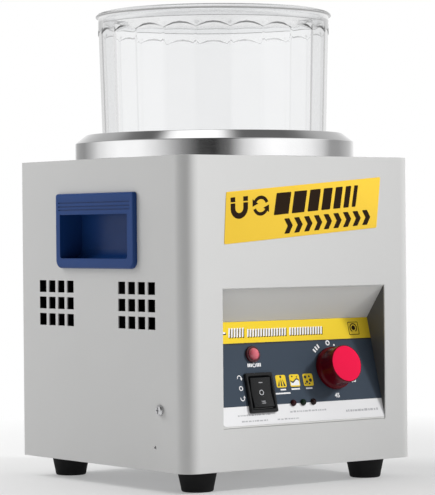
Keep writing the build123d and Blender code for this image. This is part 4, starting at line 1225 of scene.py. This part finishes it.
# ============================================================ camera
YAW, PITCH, ROLL = rad(36.83), rad(-0.36), rad(-0.50)
fwd = Vector((sin(YAW) * cos(PITCH), cos(YAW) * cos(PITCH), sin(PITCH)))
r0 = Vector((cos(YAW), -sin(YAW), 0))
u0 = r0.cross(fwd)
right = cos(ROLL) * r0 + sin(ROLL) * u0
up = -sin(ROLL) * r0 + cos(ROLL) * u0
cam_data = bpy.data.cameras.new("camera")
cam_data.lens = 2421.9 / 495.0 * 36.0
cam_data.sensor_width = 36.0
cam_data.sensor_fit = "AUTO"
cam_data.clip_start = 0.05
cam_data.clip_end = 60
cam = link(bpy.data.objects.new("camera", cam_data))
cam.matrix_world = Matrix(((right.x, up.x, -fwd.x, -1.2243), (right.y, up.y, -fwd.y, -1.6379), (right.z, up.z, -fwd.z, 0.2054), (0, 0, 0, 1)))
scene.camera = cam

# ============================================================ floor
bm = bmesh.new()
S = 9000.0
vs = [bm.verts.new(p) for p in ((-S, -S, 0), (S, -S, 0), (S, S, 0), (-S, S, 0))]
bm.faces.new(vs)
floor = new_obj("floor", bm)
fm = Mat("floor_pale")
fm.set(spec=0.2)
fm.color(fm.ramp(fm.noise(1.2, 3), [(0.3, (0.63, 0.63, 0.63)), (0.7, (0.66, 0.66, 0.66))]))
fm.rough(fm.maprange(fm.noise(8, 3), 0.2, 0.8, 0.55, 0.7))
# the sweep is lit evenly white away from the object
fsep = fm.n.new("ShaderNodeSeparateXYZ")
fm.link(fm.tc.outputs["Object"], fsep.inputs[0])
fr2 = fm.math("ADD", fm.math("MULTIPLY", fsep.outputs["X"], fsep.outputs["X"]), fm.math("MULTIPLY", fsep.outputs["Y"], fsep.outputs["Y"]))
fade = fm.ramp(fm.math("DIVIDE", fm.math("SQRT", fr2), 1.5), [(0.10, (0.30, 0.30, 0.30)), (0.46, (1, 1, 1))])
glow = fm.n.new("ShaderNodeEmission")
glow.inputs["Color"].default_value = (1, 1, 1, 1)
flp = fm.n.new("ShaderNodeLightPath")
fm.link(fm.maprange(flp.outputs["Is Camera Ray"], 0.0, 1.0, 0.86, 1.0), glow.inputs["Strength"])
fmx = fm.n.new("ShaderNodeMixShader")
fm.link(fade, fmx.inputs[0])
fm.link(fm.b.outputs[0], fmx.inputs[1])
fm.link(glow.outputs[0], fmx.inputs[2])
fm.link(fmx.outputs[0], fm.n["Material Output"].inputs["Surface"])
setmat(floor, fm.m)

# ============================================================ studio: soft boxes painted into the surroundings
world = bpy.data.worlds.new("studio")
scene.world = world
world.use_nodes = True
nt = world.node_tree
nt.nodes.clear()
N = nt.nodes.new


def wmath(op, a, b=None, c=None):
    m = N("ShaderNodeMath")
    m.operation = op
    for i, v in enumerate((a, b, c)):
        if v is None:
            continue
        if isinstance(v, (int, float)):
            m.inputs[i].default_value = v
        else:
            nt.links.new(v, m.inputs[i])
    return m.outputs[0]


tc = N("ShaderNodeTexCoord")
sep = N("ShaderNodeSeparateXYZ")
nt.links.new(tc.outputs["Generated"], sep.inputs[0])
AZ0 = math.atan2(-1.6379, -1.2243)          # the side the front three-quarter view is taken from
SIDE_L, SIDE_R = 0.5, 0.9
F = (cos(AZ0), sin(AZ0))
Rr = (cos(AZ0 + pi / 2), sin(AZ0 + pi / 2))
cc = wmath("ADD", wmath("MULTIPLY", sep.outputs["X"], F[0]), wmath("MULTIPLY", sep.outputs["Y"], F[1]))
ss = wmath("ADD", wmath("MULTIPLY", sep.outputs["X"], Rr[0]), wmath("MULTIPLY", sep.outputs["Y"], Rr[1]))
alpha = wmath("ARCTAN2", ss, cc)            # -pi..pi, 0 towards the viewer, + to the viewer's right
apos = wmath("MULTIPLY_ADD", alpha, 0.5 / pi, 0.5)
elev = wmath("ARCSINE", sep.outputs["Z"])
epos = wmath("MULTIPLY_ADD", elev, 1 / pi, 0.5)


def wramp(fac, stops, scale):
    """stops in (position, radiance); returns radiance."""
    r = N("ShaderNodeValToRGB")
    els = r.color_ramp.elements
    while len(els) > 1:
        els.remove(els[-1])
    els[0].position = stops[0][0]
    v = stops[0][1] / scale
    els[0].color = (v, v, v, 1)
    for p, c in stops[1:]:
        e = els.new(p)
        v = c / scale
        e.color = (v, v, v, 1)
    nt.links.new(fac, r.inputs["Fac"])
    return wmath("MULTIPLY", r.outputs["Color"], scale)


def A(deg):
    return (deg + 180.0) / 360.0


def E(deg):
    return (deg + 90.0) / 180.0


# what stands round the table, near the horizon: dark behind the viewer, bright screens to both sides, white sweep behind
H = wramp(apos, [(A(-180), 1.0), (A(-168), 0.80), (A(-159), 0.45), (A(-147), 0.36), (A(-135), 0.31), (A(-123), 0.50), (A(-111), 0.79), (A(-99), 0.98),
                 (A(-86), 1.08), (A(-62), 1.06), (A(-49), 0.88), (A(-37), 0.58), (A(-25), 0.27), (A(-12), 0.06), (A(0), 0.03), (A(12), 0.16), (A(24), 0.74),
                 (A(37), 1.06), (A(49), 1.15), (A(74), 1.11), (A(86), 0.99), (A(99), 0.70), (A(110), 0.34), (A(123), 0.34), (A(135), 0.45), (A(147), 0.58),
                 (A(159), 0.80), (A(170), 0.95), (A(180), 1.0)], 1.2)
low = wramp(epos, [(0.0, 1.0), (E(7), 1.0), (E(12), 0.0), (1.0, 0.0)], 1.0)
high = wramp(epos, [(0.0, 0.0), (E(7), 0.0), (E(12), 1.0), (1.0, 1.0)], 1.0)
# higher up behind the object
behind = wramp(apos, [(0.0, 1.0), (A(-138), 1.0), (A(-118), 0.0), (A(118), 0.0), (A(138), 1.0), (1.0, 1.0)], 1.0)
ladder = wramp(epos, [(0.0, 0.7), (E(12), 0.70), (E(20), 0.52), (E(32), 0.38), (E(38), 0.34), (E(43), 0.25), (E(49), 0.09), (E(55), 0.035), (1.0, 0.035)], 1.0)
sides = wramp(apos, [(0.0, 0.10), (A(-130), 0.10), (A(-105), SIDE_L), (A(-70), SIDE_L), (A(-45), 0.06), (A(20), 0.05), (A(55), SIDE_R), (A(105), SIDE_R), (A(130), 0.10), (1.0, 0.10)], 3.0)
upper = wmath("MULTIPLY", high, wmath("ADD", wmath("MULTIPLY", behind, ladder), sides))
# one round lamp high up behind, on the viewer's left
LAMP = (math.cos(rad(74)) * cos(AZ0 + rad(-155)), math.cos(rad(74)) * sin(AZ0 + rad(-155)), math.sin(rad(74)))
dot = wmath("ADD", wmath("ADD", wmath("MULTIPLY", sep.outputs["X"], LAMP[0]), wmath("MULTIPLY", sep.outputs["Y"], LAMP[1])), wmath("MULTIPLY", sep.outputs["Z"], LAMP[2]))
off = wmath("MULTIPLY", wmath("ARCCOSINE", dot), 180 / pi / 40.0)
disc = wramp(off, [(0.0, 1.15), (7 / 40, 1.12), (9.4 / 40, 0.9), (11.6 / 40, 0.42), (14 / 40, 0.08), (16 / 40, 0.0), (1.0, 0.0)], 1.2)
lp = N("ShaderNodeLightPath")
tr = wmath("GREATER_THAN", lp.outputs["Transmission Depth"], 0.5)      # whatever has been through clear plastic
sweep = wramp(apos, [(0.0, 1.0), (A(-170), 0.95), (A(-159), 0.70), (A(-147), 0.60), (A(-135), 0.55), (A(-123), 0.62), (A(-111), 0.78), (A(-70), 0.66), (A(-20), 0.30), (A(20), 0.30),
                     (A(70), 0.66), (A(108), 0.62), (A(123), 0.55), (A(135), 0.58), (A(147), 0.66), (A(159), 0.80), (A(170), 0.95), (1.0, 1.0)], 1.0)
rise = wramp(epos, [(0.0, 1.0), (E(9), 1.0), (E(13), 0.45), (E(17), 0.12), (E(28), 0.12), (E(33), 0.72), (E(39), 0.95), (1.0, 0.92)], 1.0)
open_ = wmath("ADD", wmath("ADD", wmath("MULTIPLY", H, low), upper), disc)
rad_ = wmath("ADD", wmath("MULTIPLY", open_, wmath("SUBTRACT", 1.0, tr)), wmath("MULTIPLY", wmath("MULTIPLY", sweep, rise), tr))
bg = N("ShaderNodeBackground")
bg.inputs["Color"].default_value = (1, 1, 1, 1)
nt.links.new(rad_, bg.inputs["Strength"])
bg2 = N("ShaderNodeBackground")
bg2.inputs["Color"].default_value = (1, 1, 1, 1)
bg2.inputs["Strength"].default_value = 1.0
mx = N("ShaderNodeMixShader")
nt.links.new(lp.outputs["Is Camera Ray"], mx.inputs[0])
nt.links.new(bg.outputs[0], mx.inputs[1])
nt.links.new(bg2.outputs[0], mx.inputs[2])
out = N("ShaderNodeOutputWorld")
nt.links.new(mx.outputs[0], out.inputs[0])


def area(name, loc, target, size, power, size_y=None, gloss=False):
    ld = bpy.data.lights.new(name, "AREA")
    ld.shape = "RECTANGLE"
    ld.size = size
    ld.size_y = size_y or size
    ld.energy = power
    o = link(bpy.data.objects.new(name, ld))
    o.location = loc
    o.rotation_euler = (Vector(target) - Vector(loc)).to_track_quat("-Z", "Y").to_euler()
    o.visible_glossy = gloss
    o.visible_transmission = gloss
    o.visible_camera = False
    return o


fvec = Vector((F[0], F[1], 0))
rvec = Vector((Rr[0], Rr[1], 0))
# a beam from the right, centred on the near corner and fading towards the far one
spot = bpy.data.lights.new("key_right", "SPOT")
spot.energy = 915.0
spot.shadow_soft_size = 0.38
spot.spot_size = rad(14.5)
spot.spot_blend = 1.0
key = link(bpy.data.objects.new("key_right", spot))
key.location = fvec * 0.34 + rvec * 3.28 + Vector((0, 0, 2.30))
key.rotation_euler = (Vector((-0.161, -0.165, 0.24)) - key.location).to_track_quat("-Z", "Y").to_euler()
key.visible_glossy = False
key.visible_transmission = False
area("fill_left", fvec * -0.50 - rvec * 1.00 + Vector((0, 0, 0.92)), (0, 0, 0.18), 0.75, 17.6)

scene.view_settings.view_transform = "Standard"
scene.view_settings.look = "None"
scene.view_settings.exposure = 0.0
scene.view_settings.gamma = 1.0
